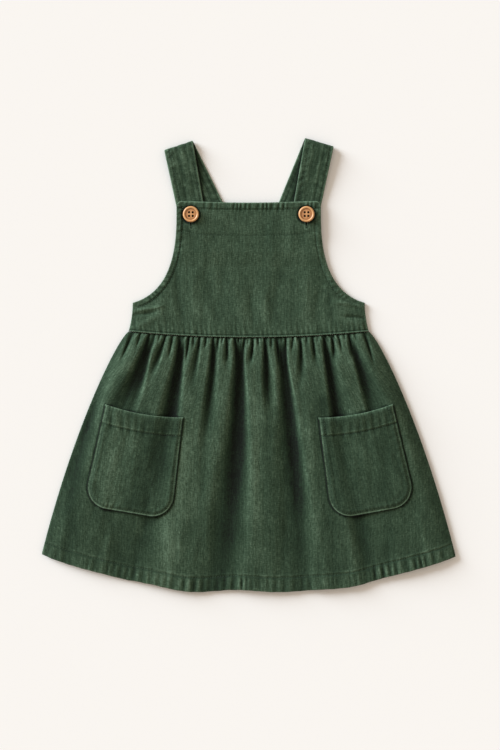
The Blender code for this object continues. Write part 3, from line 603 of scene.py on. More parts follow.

# %% [markdown]
# ## Creases that lie on top of the gathers
#
# Washed cloth that has been smoothed by hand keeps faint creases. The larger ones are listed
# one by one. Smaller ones are seeded noise, long in the warp's direction, because that is how
# cloth crumples when its upper edge is drawn together. Bands of painted highlight and painted
# shade along the broad folds are listed in the same way.

# %% Creases and puckers of the skirt
SKIRT_CREASES = [  # both ends, width, and height above or below the cloth
    (-62, -46, -84, -232, 15, 0.6), (-34, -70, -44, -228, 6, 0.5),
    (12, -30, 8, -225, 8, 0.7), (66, -30, 84, -218, 7, 0.5),
    (-196, -150, -208, -212, 4, 0.5), (-150, -178, -158, -222, 4, 0.45),
    (-120, -176, -124, -228, 4, -0.45), (-84, -170, -86, -236, 5, 0.4),
    (44, -150, 40, -240, 5, -0.5), (112, -176, 116, -234, 4, 0.45),
    (150, -170, 158, -226, 5, -0.45), (186, -150, 200, -214, 4, 0.5),
    (-128, 12, -170, -60, 6, 0.5), (130, 8, 178, -78, 6, 0.2),
]
# Bands painted paler and darker along the broad folds: painted highlight and painted shade.
SKIRT_PAINTED_SHADING = [  # the last number says how much paler or darker the cloth has become
    (-56, -40, -87, -250, 15, 0.45), (-74, -36, -86, -92, 6, -0.5),
    (-165, -36, -202, -226, 7, -0.5), (-134, -2, -147, -52, 7, -0.55),
    (-64, -28, -60, -52, 5, 0.3), (-53, -92, -58, -170, 6, 0.35),
    (-114, -158, -120, -190, 7, 0.35), (-88, -190, -90, -246, 12, 0.3),
    (106, -18, 112, -50, 6, -0.35), (114, -158, 122, -190, 6, 0.35),
    (0, -37, 0, -158, 5, -0.3), (14, -37, 17, -232, 7, 0.35),
    (58, -66, 63, -158, 6, -0.35), (128, 18, 152, -42, 8, -0.5),
    (80, -28, 85, -58, 6, -0.7),
]


def waist_puckers(across, down):
    """The smallest gathers, one for each few stitches, which end just below the waist seam."""
    return puckers(across * WAIST_HALF, down * SKIRT_LENGTH, 4.7, 7, 17, 0.0, 0.7)


def hem_puckers(across, down):
    """Uneven upright puckers, strongest between the hem's stitches and its edge."""
    away = (down - 1) * SKIRT_LENGTH + 0.45 * HEM_BAND
    broad = puckers(across * CUT_HALF, away, 9.2, 9, 11, 0.04, 0.6)
    return broad + 0.5 * puckers(across * CUT_HALF, away, 5.9, 8, 13, -0.05, 0.7)


def skirt_relief(across, down, x, y):
    flat_x, flat_y = across * CUT_HALF, down * SKIRT_LENGTH
    lower = 0.5 + 0.5 * smoothstep(0.05, 0.4, down)
    relief = lower * crumple(flat_x, flat_y, (0.34, 11, 75, 3))
    relief += crumple(flat_x, flat_y, (0.16, 4.5, 19, 4), (0.07, 2.2, 7, 5))
    relief += crease_height(SKIRT_CREASES, x, y)
    return relief + 0.85 * hem_puckers(across, down) + 1.1 * waist_puckers(across, down)


def hem_band(below):
    """The turned hem: thicker below its stitches, which sink into the cloth."""
    turned = BAND_RISE * smoothstep(-0.4, 1.0, below)
    return turned + 0.25 * bump(below + 2.6, 1.4) - 0.42 * bump(below + 0.3, 0.9)


print("creases:", len(SKIRT_CREASES), "worn places:", len(SKIRT_PAINTED_SHADING))

# %% [markdown]
# ## Where the pockets are
#
# Two patch pockets are stitched onto the skirt, each turned a little outwards with the skirt's
# flare. Their outline comes first, because their stitches pull the skirt down too.

# %% Outline of the pockets
POCKET_FLARE = math.tan(math.radians(3.1))
POCKET_DEPTH = 113.8
POCKET_CORNER_RADIUS = 26.0
POCKET_MOUTH_SAG = 3.8
POCKET_MOUTH_BAND = 20.0
POCKET_MOUTH_LIFT = 1.6
POCKET_GAP = 0.4
POCKET_STITCH = 3.4
POCKET_TACK = 6.0
POCKET_FOLDS = 0.3  # share of the skirt's folds that shows through a pocket
Pocket = namedtuple("Pocket", "word side mouth_x mouth_y mouth_half turn")
POCKETS = [
    Pocket("left", -1, 114.5, -48.6, 43.6, math.radians(9.6)),
    Pocket("right", 1, 117.1, -48.6, 41.8, math.radians(10.3)),
]


def pocket_half(piece, depth):
    into_corner = np.maximum(depth - (POCKET_DEPTH - POCKET_CORNER_RADIUS), 0.0)
    left = np.sqrt(np.maximum(POCKET_CORNER_RADIUS**2 - into_corner**2, 0.0))
    return piece.mouth_half + depth * POCKET_FLARE - (POCKET_CORNER_RADIUS - left)


def pocket_place(piece, across, depth):
    aside = across * pocket_half(piece, depth)
    low = depth + POCKET_MOUTH_SAG * (1 - across**2) * (1 - depth / POCKET_DEPTH)
    x = piece.mouth_x + aside * math.cos(piece.turn) + low * math.sin(piece.turn)
    y = piece.mouth_y + aside * math.sin(piece.turn) - low * math.cos(piece.turn)
    return piece.side * x, y


def pocket_outline(piece):
    """The pocket's sides and foot, from one mouth corner to the other."""
    depth = POCKET_DEPTH * np.sin(np.linspace(0, math.pi / 2, 150))
    sides = [np.stack(pocket_place(piece, side, depth), axis=1) for side in (-1, 1)]
    foot = np.stack(pocket_place(piece, np.linspace(-1, 1, 40), POCKET_DEPTH), axis=1)
    return np.concatenate([sides[0], foot, sides[1][::-1]])


def from_pockets(x, y):
    """Distance from the nearest pocket's edge. It is only worked out near the pockets."""
    nearest = np.full(np.shape(x), 50.0)
    for piece in POCKETS:
        mouth = np.stack(pocket_place(piece, np.linspace(1, -1, 40), 0.0), axis=1)
        line = np.concatenate([pocket_outline(piece), mouth])
        low, high = line.min(axis=0) - 6, line.max(axis=0) + 6
        near = (x > low[0]) & (x < high[0]) & (y > low[1]) & (y < high[1])
        nearest[near] = np.minimum(nearest[near], distance_to(line, x[near], y[near])[0])
    return nearest


# %% Front of the skirt
def skirt_downs():
    """Rows from the waist to the hem: close at the gathers, the hem's stitches and its edge."""
    edge = SKIRT_LENGTH - EDGE_STEPS[::-1]
    stitch = SKIRT_LENGTH - HEM_BAND
    stretches = [
        EDGE_STEPS,
        np.arange(1.6, 16, 0.9),
        np.arange(16, 66, 1.7),
        np.arange(66, stitch - 5, 2.75),
        np.arange(stitch - 5, stitch + 3, 0.62),
        np.arange(stitch + 3, edge[0] - 0.8, 1.4),
        edge,
    ]
    return np.concatenate(stretches) / SKIRT_LENGTH


def skirt_front_height(across, down, x, y, fold_share=1.0):
    """The front panel's upper side and what it rests on."""
    depth = gathers(across, down)[0] * fold_share
    inwards = (1 - np.abs(across)) * skirt_half(down)
    loft = np.interp(down, *zip(*SKIRT_LOFT)) - SIDE_TOP
    resting = back_lift(across, down) + SIDE_TOP
    top = soft_max(SIDE_TOP + loft * roll_off(inwards, SKIRT_ROLL) - depth, resting, 0.8)
    top = top + skirt_relief(across, down, x, y) * (0.25 + 0.75 * smoothstep(0, 12, inwards))
    return top + hem_band((down - 1) * SKIRT_LENGTH + HEM_BAND), resting


def make_skirt_front():
    across = side_spread(291, SKIRT_MIDDLE_HALF)
    across, down = np.broadcast_arrays(across, skirt_downs()[:, None])
    x, y = skirt_place(across, down)
    depth, pull = gathers(across, down)
    inwards = (1 - np.abs(across)) * skirt_half(down)
    from_hem = (1 - down) * SKIRT_LENGTH
    from_waist = down * SKIRT_LENGTH
    x = x + pull * smoothstep(0, 6, inwards)
    top, resting = skirt_front_height(across, down, x, y)
    y = y + 0.2 * puckers(across * CUT_HALF, from_hem, 17, 5, 11)
    beside = bump(from_pockets(x, y) - 0.1, 0.7)
    top = np.maximum(top - 0.3 * beside, np.minimum(top, resting))
    half = edge_round(CLOTH, inwards, from_hem, from_waist)
    upper = top - CLOTH / 2 + half
    lower = np.maximum(top - CLOTH / 2 - half, resting - CLOTH)
    lower = np.minimum(lower, upper - 0.5 * (half > 0.3))
    # Paler on crests and raised creases and darker in hollows: partly wear, partly painted highlight
    # and painted shade.
    wear_and_painted_shade = 0.16 * crests(top, 2) + 0.10 * crests(top, 5) + 0.08 * crests(top, 12)
    wear_and_painted_shade = np.clip(wear_and_painted_shade + 0.22 * crease_height(SKIRT_CREASES, x, y), -0.45, 0.4) - 0.16
    # Painted shade: darker in the troughs and clefts, in a line under the waist seam, and in a narrow
    # band round each pocket.
    wear_and_painted_shade -= 1.25 * smoothstep(0.7, 6.0, depth) + 0.8 * bump(from_waist, 0.9) + 1.6 * beside
    wear_and_painted_shade += 0.3 * bump(from_hem, 1.4) + 0.3 * bump(inwards, 2.0)
    # A paler strip along the small ridge above the hem's stitches, as wear and painted highlight;
    # painted shade in the stitch line; the lower skirt a little darker.
    uneven = 0.7 + crumple(across * CUT_HALF, 0 * down, (0.7, 16, 1, 15))
    wear_and_painted_shade += 0.45 * uneven * bump(from_hem - HEM_BAND - 2.3, 1.2)
    wear_and_painted_shade -= 0.5 * bump(from_hem - HEM_BAND + 0.5, 1.0) + 0.1 * smoothstep(0.2, 0.6, down)
    # Paler tops and darker dips of the puckers at the hem and the waist: painted highlight and painted
    # shade.
    wear_and_painted_shade += 0.65 * hem_puckers(across, down) + waist_puckers(across, down)
    wear_and_painted_shade += 0.14 * smoothstep(HEM_BAND + 1, HEM_BAND - 1, from_hem)
    # Bands painted paler and darker along the broad folds: painted highlight and painted shade.
    wear_and_painted_shade += crease_height(SKIRT_PAINTED_SHADING, x, y)
    uv = skirt_grain(across * skirt_half(down), down) + (FRONT_ON_BOLT, 0)
    return cloth_shell("skirt_front_cloth", (x, y, upper), (x, y, lower), uv, wear_and_painted_shade)


skirt_front = make_skirt_front()

# %% [markdown]
# ## The back of the skirt
#
# The back panel lies under the front one, face down. Most of it rests flat on the floor, and
# its gathers lift off it as low channels. Its hem is turned and stitched as the front's is,
# with the stitches sunk into the side that faces the floor.


# %% Back of the skirt
def make_skirt_back():
    down = np.append(skirt_downs()[::2], 1.0)[:, None]
    across, down = np.broadcast_arrays(side_spread(221, SKIRT_MIDDLE_HALF), down)
    x, y = skirt_place(across, down, BACK_HEM_INSET)
    inwards = (1 - np.abs(across)) * skirt_half(down)
    from_hem = (1 - down) * SKIRT_LENGTH
    below = HEM_BAND - from_hem
    half = edge_round(CLOTH, inwards, from_hem, down * SKIRT_LENGTH)
    flat_x = across * CUT_HALF
    lift = back_lift(across, down)
    creased = 0.10 + crumple(flat_x, down * SKIRT_LENGTH, (0.10, 9, 60, 43))
    under = lift + 0.30 * bump(below + 0.5, 0.9) + creased * smoothstep(0, 8, inwards)
    upper = lift + CLOTH / 2 + half
    lower = np.minimum(under + CLOTH / 2 - half, upper)
    # The hem band's puckers paler on their tops and the hem's edge paler: wear and painted highlight.
    wear_and_shade = 0.5 + 0.5 * puckers(flat_x, below, 9.5, 9, 41)
    wear_and_painted_shade = 0.25 * wear_and_shade * bump(below, 9) + 0.5 * bump(from_hem, 1.4)
    # Painted shade where the panel lifts off the floor into the channels of its gathers.
    wear_and_painted_shade -= 0.7 * smoothstep(0.3, 2.2, lift)
    uv = skirt_grain(x, down) + (BACK_ON_BOLT, 0)
    return cloth_shell("skirt_back_cloth", (x, y, upper), (x, y, lower), uv, wear_and_painted_shade)


skirt_back = make_skirt_back()

# %% [markdown]
# ## The bodice
#
# The front bodice runs from the waist up into a bib, with a curved armhole on each side. Its
# armholes and top edge are turned in and stitched a finger's width from the edge. The grid's
# rows follow the armhole on both sides, so that the rounded edge and the stitch line are
# clean curves. A square grid that was cut out along the outline would leave a ragged edge.

# %% Outline of the bodice
UNDERARM = (127.5, 70.0)
STITCHED_EDGE = 6.4
TOP_HEM = 7.2
PIPING = 1.5
PIPING_RISE = 0.75
BIB_TOP_MIDDLE_Y = 180.0
BIB_ROLL = 12.0
SIDE_SEAM_LEAN = 0.098  # in radians
Armhole = namedtuple("Armhole", "half corner_y radius start_y leave_y arrive_x arrive_y")
FRONT_ARMHOLE = Armhole(79.3, 181.6, 5.5, 165, 115, 92, 80)
BACK_ARMHOLE = Armhole(62.0, 146.0, 4.0, 128, 98, 84, 72)
ON_STRAP_ENDS = 2 * CLOTH + STRAP_CLOTH + 2 * SEAM_GAP
ON_STRAP_LEGS = CLOTH + 2 * STRAP_CLOTH + 2 * SEAM_GAP
BIB_LOFT = [  # y, and the height at the edge, in the middle and beside it
    (32, SIDE_TOP, 4.6, 4.6),
    (46, SIDE_TOP, 4.3, 4.3),
    (75, SIDE_TOP, 3.2, 3.2),
    (110, SIDE_TOP, 3.2, 3.2),
    (126, SIDE_TOP, ON_STRAP_ENDS, ON_STRAP_ENDS),
    (138, SIDE_TOP + 0.6, ON_STRAP_ENDS, ON_STRAP_ENDS),
    (150, ON_STRAP_LEGS, ON_STRAP_ENDS, ON_STRAP_LEGS),
    (182, ON_STRAP_LEGS, ON_STRAP_ENDS, ON_STRAP_LEGS),
]


def bezier(start, leave, arrive, end, steps):
    t = np.linspace(0, 1, steps + 1)[:, None]
    ends = (1 - t) ** 3 * np.array(start) + t**3 * np.array(end)
    return ends + 3 * (1 - t) ** 2 * t * np.array(leave) + 3 * (1 - t) * t**2 * np.array(arrive)


def bodice_side(armhole):
    """The right-hand outline from the top corner to the waist, with its inward directions."""
    turn = np.radians(np.linspace(90, 0, 13))
    centre = (armhole.half - armhole.radius, armhole.corner_y - armhole.radius)
    corner = np.stack([np.cos(turn), np.sin(turn)], axis=1) * armhole.radius + centre
    start, leave = (armhole.half, armhole.start_y), (armhole.half, armhole.leave_y)
    curve = bezier(start, leave, (armhole.arrive_x, armhole.arrive_y), UNDERARM, 200)
    share = np.linspace(0, 1, 21)[1:]
    side_x = UNDERARM[0] + (WAIST_HALF - UNDERARM[0]) * share**2
    side_y = UNDERARM[1] + (WAIST_SIDE_Y + SEAM_GAP / 2 - UNDERARM[1]) * share
    side = np.stack([side_x, side_y], axis=1)
    line = resample(np.concatenate([corner, curve, side]), FINE_STEP)
    close = len(line) - 1 - np.arange(16, -1, -1)
    line = line[np.concatenate([np.arange(0, close[0], 4), close])]
    along = np.gradient(line, axis=0)
    angle = np.unwrap(np.arctan2(-along[:, 0], along[:, 1]))
    angle[: int(np.argmin(np.abs(line[:, 1] - centre[1])))] = -math.pi
    arrive_angle = angle[int(np.argmin(np.hypot(*(line - UNDERARM).T))) - 3]
    turned = smoothstep(2, -22, line[:, 1] - UNDERARM[1])
    swing = SIDE_SEAM_LEAN - math.pi - arrive_angle
    angle = np.where(turned > 0, arrive_angle + swing * turned, angle)
    return line, np.stack([np.cos(angle), np.sin(angle)], axis=1)


def bodice_grid(armhole, top_middle_y, spans, strip):
    """Places of a bodice panel: each row runs between an outline point and its mirror image."""
    line, inward = bodice_side(armhole)
    ends = [top_middle_y, top_middle_y - 10, WAIST_MIDDLE_Y + SEAM_GAP / 2]
    at = np.concatenate([[0.0], np.cumsum(np.linalg.norm(np.diff(line, axis=0), axis=1))])
    share = np.linspace(0, 1, spans + 1)
    rows = []
    for edge, way, low in zip(line, inward, np.interp(at, [0, 16, at[-1]], ends)):
        outer = edge + strip[:, None] * way
        half, side_y = outer[-1]
        middle = np.stack([share * half, low + (side_y - low) * share**2], axis=1)
        right = np.concatenate([middle, outer[-2::-1]])
        rows.append(np.concatenate([right[:0:-1] * (-1, 1), right]))
    return *np.moveaxis(np.array(rows), -1, 0), line


def bib_height(x, y, inwards):
    at, *heights = zip(*BIB_LOFT)
    edge, middle, sides = (np.interp(y, at, height) for height in heights)
    inner = middle + (sides - middle) * smoothstep(20, 36, np.abs(x))
    return edge + (inner - edge) * roll_off(inwards, BIB_ROLL)


# %% Creases and seams of the bodice
BUTTON_X = 63.4
BUTTON_Y = 167.1
BUTTONHOLE = (153.0, 170.4)
FACING_Y = 144.4
BIB_CREASES = [
    (-129, 62, -92, 67, 2.2, 1.1), (-130, 57, -102, 60, 1.8, -1.1),
    (-126, 42, -96, 60, 3.5, 0.7), (129, 64, 92, 71, 2.2, 1.1),
    (131, 52, 104, 55, 1.8, -1.3), (129, 44, 104, 50, 2.5, 0.6),
    (-80, 118, -71, 44, 5, -0.7), (-47, 114, -32, 44, 6, -0.6),
    (3, 86, 6, 44, 4, -0.6), (39, 120, 27, 44, 7, -0.6),
    (76, 86, 73, 44, 4, -0.5), (88, 80, 94, 44, 4, -0.7),
    (-62, 116, -54, 44, 6, 0.6), (-21, 116, -4, 44, 7, 0.5),
    (19, 88, 19, 44, 5, 0.5), (68, 118, 62, 44, 7, 0.5),
    (-99, 74, -94, 46, 5, 0.7), (26, 182, 27, 138, 15, -0.5),
    (-52, 176, -30, 158, 6, 0.25),
]


def top_edge_y(x):
    return BIB_TOP_MIDDLE_Y + 1.6 * (x / FRONT_ARMHOLE.half) ** 2


def facing_line(x):
    """Where the facing's stitches cross the bib: level, and rising beside each button."""
    return FACING_Y + 3 * smoothstep(54, 70, np.abs(x))


def make_bodice_front():
    strip = np.array([*EDGE_STEPS, *np.arange(1.6, 5.2, 0.9), *np.arange(5.4, 8.6, 0.45)])
    x, y, line = bodice_grid(FRONT_ARMHOLE, BIB_TOP_MIDDLE_Y, 84, strip)
    away, along = distance_to(line, np.abs(x), y)
    from_waist = y - waist_y(x / WAIST_HALF) - SEAM_GAP / 2
    from_top = top_edge_y(x) - y
    from_piping = from_waist - PIPING
    on_armhole = smoothstep(182, 172, y) * smoothstep(62, 70, y)
    base = bib_height(x, y, x[:, -1:] - np.abs(x))
    turned = on_armhole * smoothstep(STITCHED_EDGE + 0.9, STITCHED_EDGE - 0.3, away)
    turned = np.maximum(turned, smoothstep(TOP_HEM + 0.9, TOP_HEM - 0.3, from_top))
    facing = from_top - BIB_TOP_MIDDLE_Y + facing_line(x)
    inside = smoothstep(8, 12, away)
    grooves = 0.55 * bump(away - STITCHED_EDGE, 0.8) * on_armhole
    grooves += 0.5 * bump(from_top - TOP_HEM, 0.8)
    grooves += inside * (0.3 * bump(facing, 0.9) - 0.12 * smoothstep(1.2, 0.0, facing))
    seams = (1.1 - 0.3 * np.sign(x)) * on_armhole
    seams *= puckers(along, away - 0.6 * STITCHED_EDGE, 6.6, 4.5, 23, 0.3, 0.6)
    seams += 1.2 * puckers(x, from_top - 0.6 * TOP_HEM, 5.9, 4.5, 21, 0.1, 0.6)
    seams += 0.65 * puckers(x, from_waist, 5.6, 12, 25)
    creases = crease_height(BIB_CREASES, x, y)
    relief = 0.6 * seams + 0.08 * puckers(x, facing, 7.0, 5, 27) + creases
    relief += crumple(x, y, (0.38, 11, 40, 31), (0.14, 4.2, 13, 32), (0.05, 2.2, 5, 33))
    top = base + BAND_RISE * turned - grooves - 0.25 * bump(from_piping - 0.9, 0.8)
    top += relief * smoothstep(0, 3, away) * smoothstep(0.5, 3, from_waist)
    round_share = (from_waist - PIPING / 2) / (EDGE_REACH * PIPING)
    top += PIPING_RISE * np.sqrt(np.clip(1 - round_share**2, 0, 1))
    pressed = smoothstep(11.6, 9.4, np.hypot(np.abs(x) - BUTTON_X, y - BUTTON_Y + 0.4))
    top -= 0.35 * pressed
    half = edge_round(CLOTH, away, from_waist + 0.6, from_top)
    upper = top - CLOTH / 2 + half
    lower = np.minimum(base - CLOTH / 2 - half, upper - 0.4 * (half > 0.3))
    from_slit = np.hypot(np.abs(x) - BUTTON_X, y - np.clip(y, *BUTTONHOLE))
    # Paler on crests, puckers and raised creases and darker in hollows and crease lines: partly wear,
    # partly painted highlight and painted shade.
    wear_and_painted_shade = 0.34 * crests(top, 2) + 0.12 * crests(top, 5) + 0.35 * seams + 0.24 * creases
    # Paler along the folded edges, from wear, and painted shade round the button, where the cloth is
    # pressed down.
    wear_and_painted_shade += 0.55 * bump(away, 1.3) + 0.75 * bump(from_top, 1.3) - 2.0 * pressed
    # A painted highlight along the piping, and painted shade in a line just above it.
    wear_and_painted_shade += 0.8 * bump(from_waist - PIPING / 2, 0.6) - 0.7 * bump(from_piping - 0.7, 0.8)
    # Painted shade in the stitched grooves of the armholes, the top hem and the facing, stronger on
    # the left armhole.
    wear_and_painted_shade -= (0.62 - 0.3 * np.sign(x)) * bump(away - STITCHED_EDGE, 1.1) * on_armhole
    wear_and_painted_shade -= 0.6 * bump(from_top - TOP_HEM, 0.9) + 0.35 * bump(facing, 0.9) * inside
    # A paler ring round each buttonhole's slit, and painted shade in the slit.
    wear_and_painted_shade += 0.6 * bump(from_slit - 2.0, 0.9) - 2.5 * bump(from_slit, 1.2)
    uv = np.stack([x + FRONT_ON_BOLT, y + 400], axis=-1)
    return cloth_shell("bodice_front_cloth", (x, y, upper), (x, y, lower), uv, wear_and_painted_shade)


def make_bodice_back():
    strip = np.array([*EDGE_STEPS, *np.arange(2.0, 8.2, 1.2)])
    x, y, line = bodice_grid(BACK_ARMHOLE, BACK_ARMHOLE.corner_y, 34, strip)
    away = distance_to(line, np.abs(x), y)[0]
    from_waist = y - waist_y(x / WAIST_HALF) - SEAM_GAP / 2
    from_top = BACK_ARMHOLE.corner_y - y
    half = edge_round(CLOTH, away, from_waist, from_top)
    groove = np.maximum(bump(away - STITCHED_EDGE, 1.0), bump(from_top - TOP_HEM, 1.0))
    soft = 0.12 + crumple(x, y, (0.12, 10, 40, 51))
    under = (0.28 * groove + soft) * smoothstep(0, 2, away)
    upper = CLOTH / 2 + half
    lower = np.minimum(under + CLOTH / 2 - half, upper)
    uv = np.stack([x + BACK_ON_BOLT, y + 400], axis=-1)
    # Paler edges from wear, and painted shade in the stitched grooves.
    wear_and_painted_shade = 0.5 * bump(away, 1.3) - 0.3 * groove
    return cloth_shell("bodice_back_cloth", (x, y, upper), (x, y, lower), uv, wear_and_painted_shade)


bodice_front = make_bodice_front()
bodice_back = make_bodice_back()

# %% [markdown]
# ## The straps
#
# Each strap is one tube of cloth turned right side out and pressed: a flat band with soft
# rounded sides and a stitch line along each. It comes up from the inside of the back bodice,
# is folded over at the shoulder, and comes down to its button. Its cross section is the same
# all the way, so it is swept along that path, row by row.

# %% Straps
STRAP_WIDTH = 32.6
STRAP_END_WIDTH = 29.0
STRAP_FOLD_GAP = 2.6
STRAP_FRONT_END_Y = 154.0
STRAP_BACK_END_Y = 130.0
STRAP_STEP = 5.0
STRAP_LEG = 90.0  # roughly, from the fold to the front end
UNDER_BIB_Y = 172.0  # below this, a strap is seen only through its buttonhole
STRAP_STITCHES = (3.0, 5.6)  # from the strap's two sides
STRAP_FALL = [(0.0, 0.0), (0.08, 0.0), (0.2, 0.12), (0.35, 0.42), (0.5, 0.8), (0.62, 1.0)]
Strap = namedtuple("Strap", "word side fold_x fold_y front_lean back_lean pressed")
STRAPS = [  # pressed: where the edges folded up inside show through
    Strap("left", -1, 76.8, 243.2, math.radians(11.0), math.radians(26.1), (7, -2.5)),
    Strap("right", 1, 77.4, 246.6, math.radians(11.0), math.radians(22.2), (-7, -1, 3.5)),
]


def strap_columns(half):
    """Places across a strap, close at its two rounded sides and at its stitches."""
    outside = half - np.array([0.0, 0.08, 0.25, 0.55, 0.95, *np.arange(1.5, 4.6, 0.6)])
    inner = np.linspace(-outside[-1], outside[-1], 22)[1:-1]
    return np.concatenate([-outside, inner, outside[::-1]])


def make_strap(piece, seed):
    tilt = (piece.front_lean + piece.back_lean) / 2
    skew = math.tan((piece.back_lean - piece.front_lean) / 2)
    along_fold = np.array([math.cos(tilt), math.sin(tilt)])
    down_fold = np.array([math.sin(tilt), -math.cos(tilt)])
    radius = (STRAP_FOLD_GAP + STRAP_CLOTH) / 2
    centre = np.array([-piece.fold_x, piece.fold_y]) + down_fold * (radius + STRAP_CLOTH / 2)
    half = STRAP_WIDTH / 2 * math.sqrt(1 + skew**2)
    columns = strap_columns(half)
    low = STRAP_CLOTH / 2
    high = low + 2 * radius
    laid = low + STRAP_CLOTH + SEAM_GAP
    rows = []

    def leg_end(end_y, lean):
        rate = down_fold[1] + along_fold[1] * lean
        return (end_y - centre[1] - columns * along_fold[1]) / rate

    def add_row(shift, place, height, way):
        rows.append(np.broadcast_arrays(shift, place, height, way))

    step_low = BACK_ARMHOLE.corner_y + 1
    step_high = step_low + STRAP_STEP
    levels = np.arange(STRAP_BACK_END_Y + 2.5, step_high, 1.6)
    for level in [*(STRAP_BACK_END_Y + EDGE_STEPS), *levels, step_high]:
        place = leg_end(level, skew)
        rise = (CLOTH + SEAM_GAP) * smoothstep(step_high, step_low, level)
        add_row(columns + place * skew, place, low + rise, 0.0)
    for share in np.linspace(1, 0, 52)[1:-1]:
        place = share * leg_end(step_high, skew)
        add_row(columns + place * skew, place, low, 0.0)
    for angle in np.linspace(0.0, math.pi, 15):
        height = low + radius * (1 - math.cos(angle))
        add_row(columns - radius * angle * skew, -radius * math.sin(angle), height, angle)
    for share in [*np.linspace(0, 0.985, 62)[1:], *(1 - EDGE_STEPS[::-1] / STRAP_LEG)]:
        place = share * leg_end(STRAP_FRONT_END_Y, -skew)
        taper = 1 - (1 - STRAP_END_WIDTH / STRAP_WIDTH) * share
        shift = columns * taper - math.pi * radius * skew - place * skew
        fallen = np.interp(share, *zip(*STRAP_FALL))
        add_row(shift, place, high + (laid - high) * fallen, math.pi)
    shift, place, height, way = np.moveaxis(np.array(rows), 1, 0)
    run = np.cumsum(np.abs(np.gradient(place[:, len(columns) // 2])))[:, None]
    across, run = np.broadcast_arrays(columns, run)
    inward = half - np.abs(across)
    thick = edge_round(STRAP_CLOTH, inward, run - run[0], run[-1] - run)
    stitch = inward - np.where(across * piece.side < 0, *STRAP_STITCHES)
    lines = sum(bump(across - place, 1.4) for place in piece.pressed)
    relief = 0.28 * puckers(run, stitch, 6.8, 3.4, seed, 0.5)
    relief -= 0.28 * bump(stitch, 0.8) + 0.16 * lines
    relief += crumple(across, run, (0.16, 7, 20, seed + 2), (0.10, 2.6, 7, seed + 5))
    relief += crumple(across, run + 0.3 * across, (0.09, 16, 4.5, seed + 3))
    relief = np.clip(relief * smoothstep(0, 1.2, inward), -0.5, 0.3)
    walls = []
    for sign in (-1, 1):
        out = sign * (thick + relief)
        reach = place - out * np.sin(way)
        x = centre[0] + shift * along_fold[0] + reach * down_fold[0]
        y = centre[1] + shift * along_fold[1] + reach * down_fold[1]
        walls.append((-piece.side * x, y, np.maximum(height - out * np.cos(way), 0.0)))
    # Paler along the strap's sides from wear; paler where the relief stands up and darker in its dips,
    # partly wear and partly painted highlight and painted shade.
    wear_and_painted_shade = 0.9 * bump(inward - 0.3, 1.0) + 1.3 * relief
    # Painted shade in the stitch lines and the pressed lines; the right strap a little darker than the
    # left.
    wear_and_painted_shade -= 0.5 * bump(stitch, 0.9) + 0.2 * lines - 0.01 + 0.09 * piece.side
    wear_and_painted_shade += crumple(across, run, (0.3, 2.4, 9, 65), (0.2, 7, 2.6, 66))
    # Painted shadow of the front leg: the back leg darker beside the front leg's two edges.
    x, y, _ = walls[1]
    fold = int(np.argmax(y[:, len(columns) // 2]))
    for side in (0, -1):
        edge = np.stack([x[fold + 8 :, side], y[fold + 8 :, side]], axis=1)
        away = distance_to(edge, x[:fold], y[:fold])[0]
        wear_and_painted_shade[:fold] -= 1.5 * bump(away, 1.9) + 0.35 * bump(away, 6)
    # Painted shade where the strap shows through the buttonhole, under the bib.
    wear_and_painted_shade -= 3.0 * bump(np.abs(x) - BUTTON_X, 1.8) * (y < UNDER_BIB_Y)
    uv = np.stack([across + 100 + 100 * piece.side, run + 20], axis=-1)
    return cloth_shell(f"strap_{piece.word}_cloth", *walls, uv, wear_and_painted_shade)


straps = {piece.word: make_strap(piece, 61 + 10 * i) for i, piece in enumerate(STRAPS)}

# %% [markdown]
# ## The patch pockets
#
# A patch pocket is cut with a round foot, its sides are turned in, its mouth is hemmed, and
# then it is stitched to the skirt close to its edge. Its height is the skirt's own height at
# each place, made softer, and moved up. The stitched edge holds it down and the cloth inside
# puffs a little. The hem at its mouth is drawn up into small puckers.

# %% Pockets
POCKET_CREASES = [
    (-87, -50, -124, -168, 13, -1.0), (-110, -140, -112, -166, 4, -0.5),
    (-134, -66, -154, -150, 14, 0.6), (92, -72, 108, -168, 9, -0.5),
    (153, -66, 150, -152, 7, -0.3), (116, -70, 130, -150, 10, 0.3),
]
# Bands painted paler and darker along the folds under the pockets: painted highlight and painted
# shade.
POCKET_PAINTED_SHADING = [(-82, -56, -98, -140, 9, -0.4), (-146, -52, -157, -176, 13, 0.3)]


def pocket_depths():
    """Rows from the mouth to the foot: close at the mouth's hem and round the corners."""
    band, corner = POCKET_MOUTH_BAND, POCKET_DEPTH - POCKET_CORNER_RADIUS
    stretches = [
        EDGE_STEPS,
        np.arange(1.6, band - 2, 1.3),
        np.arange(band - 2, band + 2, 0.5),
        np.arange(band + 2, corner, 1.5),
        corner + POCKET_CORNER_RADIUS * np.sin(np.radians(np.arange(6, 88, 4.0))),
        POCKET_DEPTH - EDGE_STEPS[2::-1] * 0.4,
    ]
    return np.concatenate(stretches)


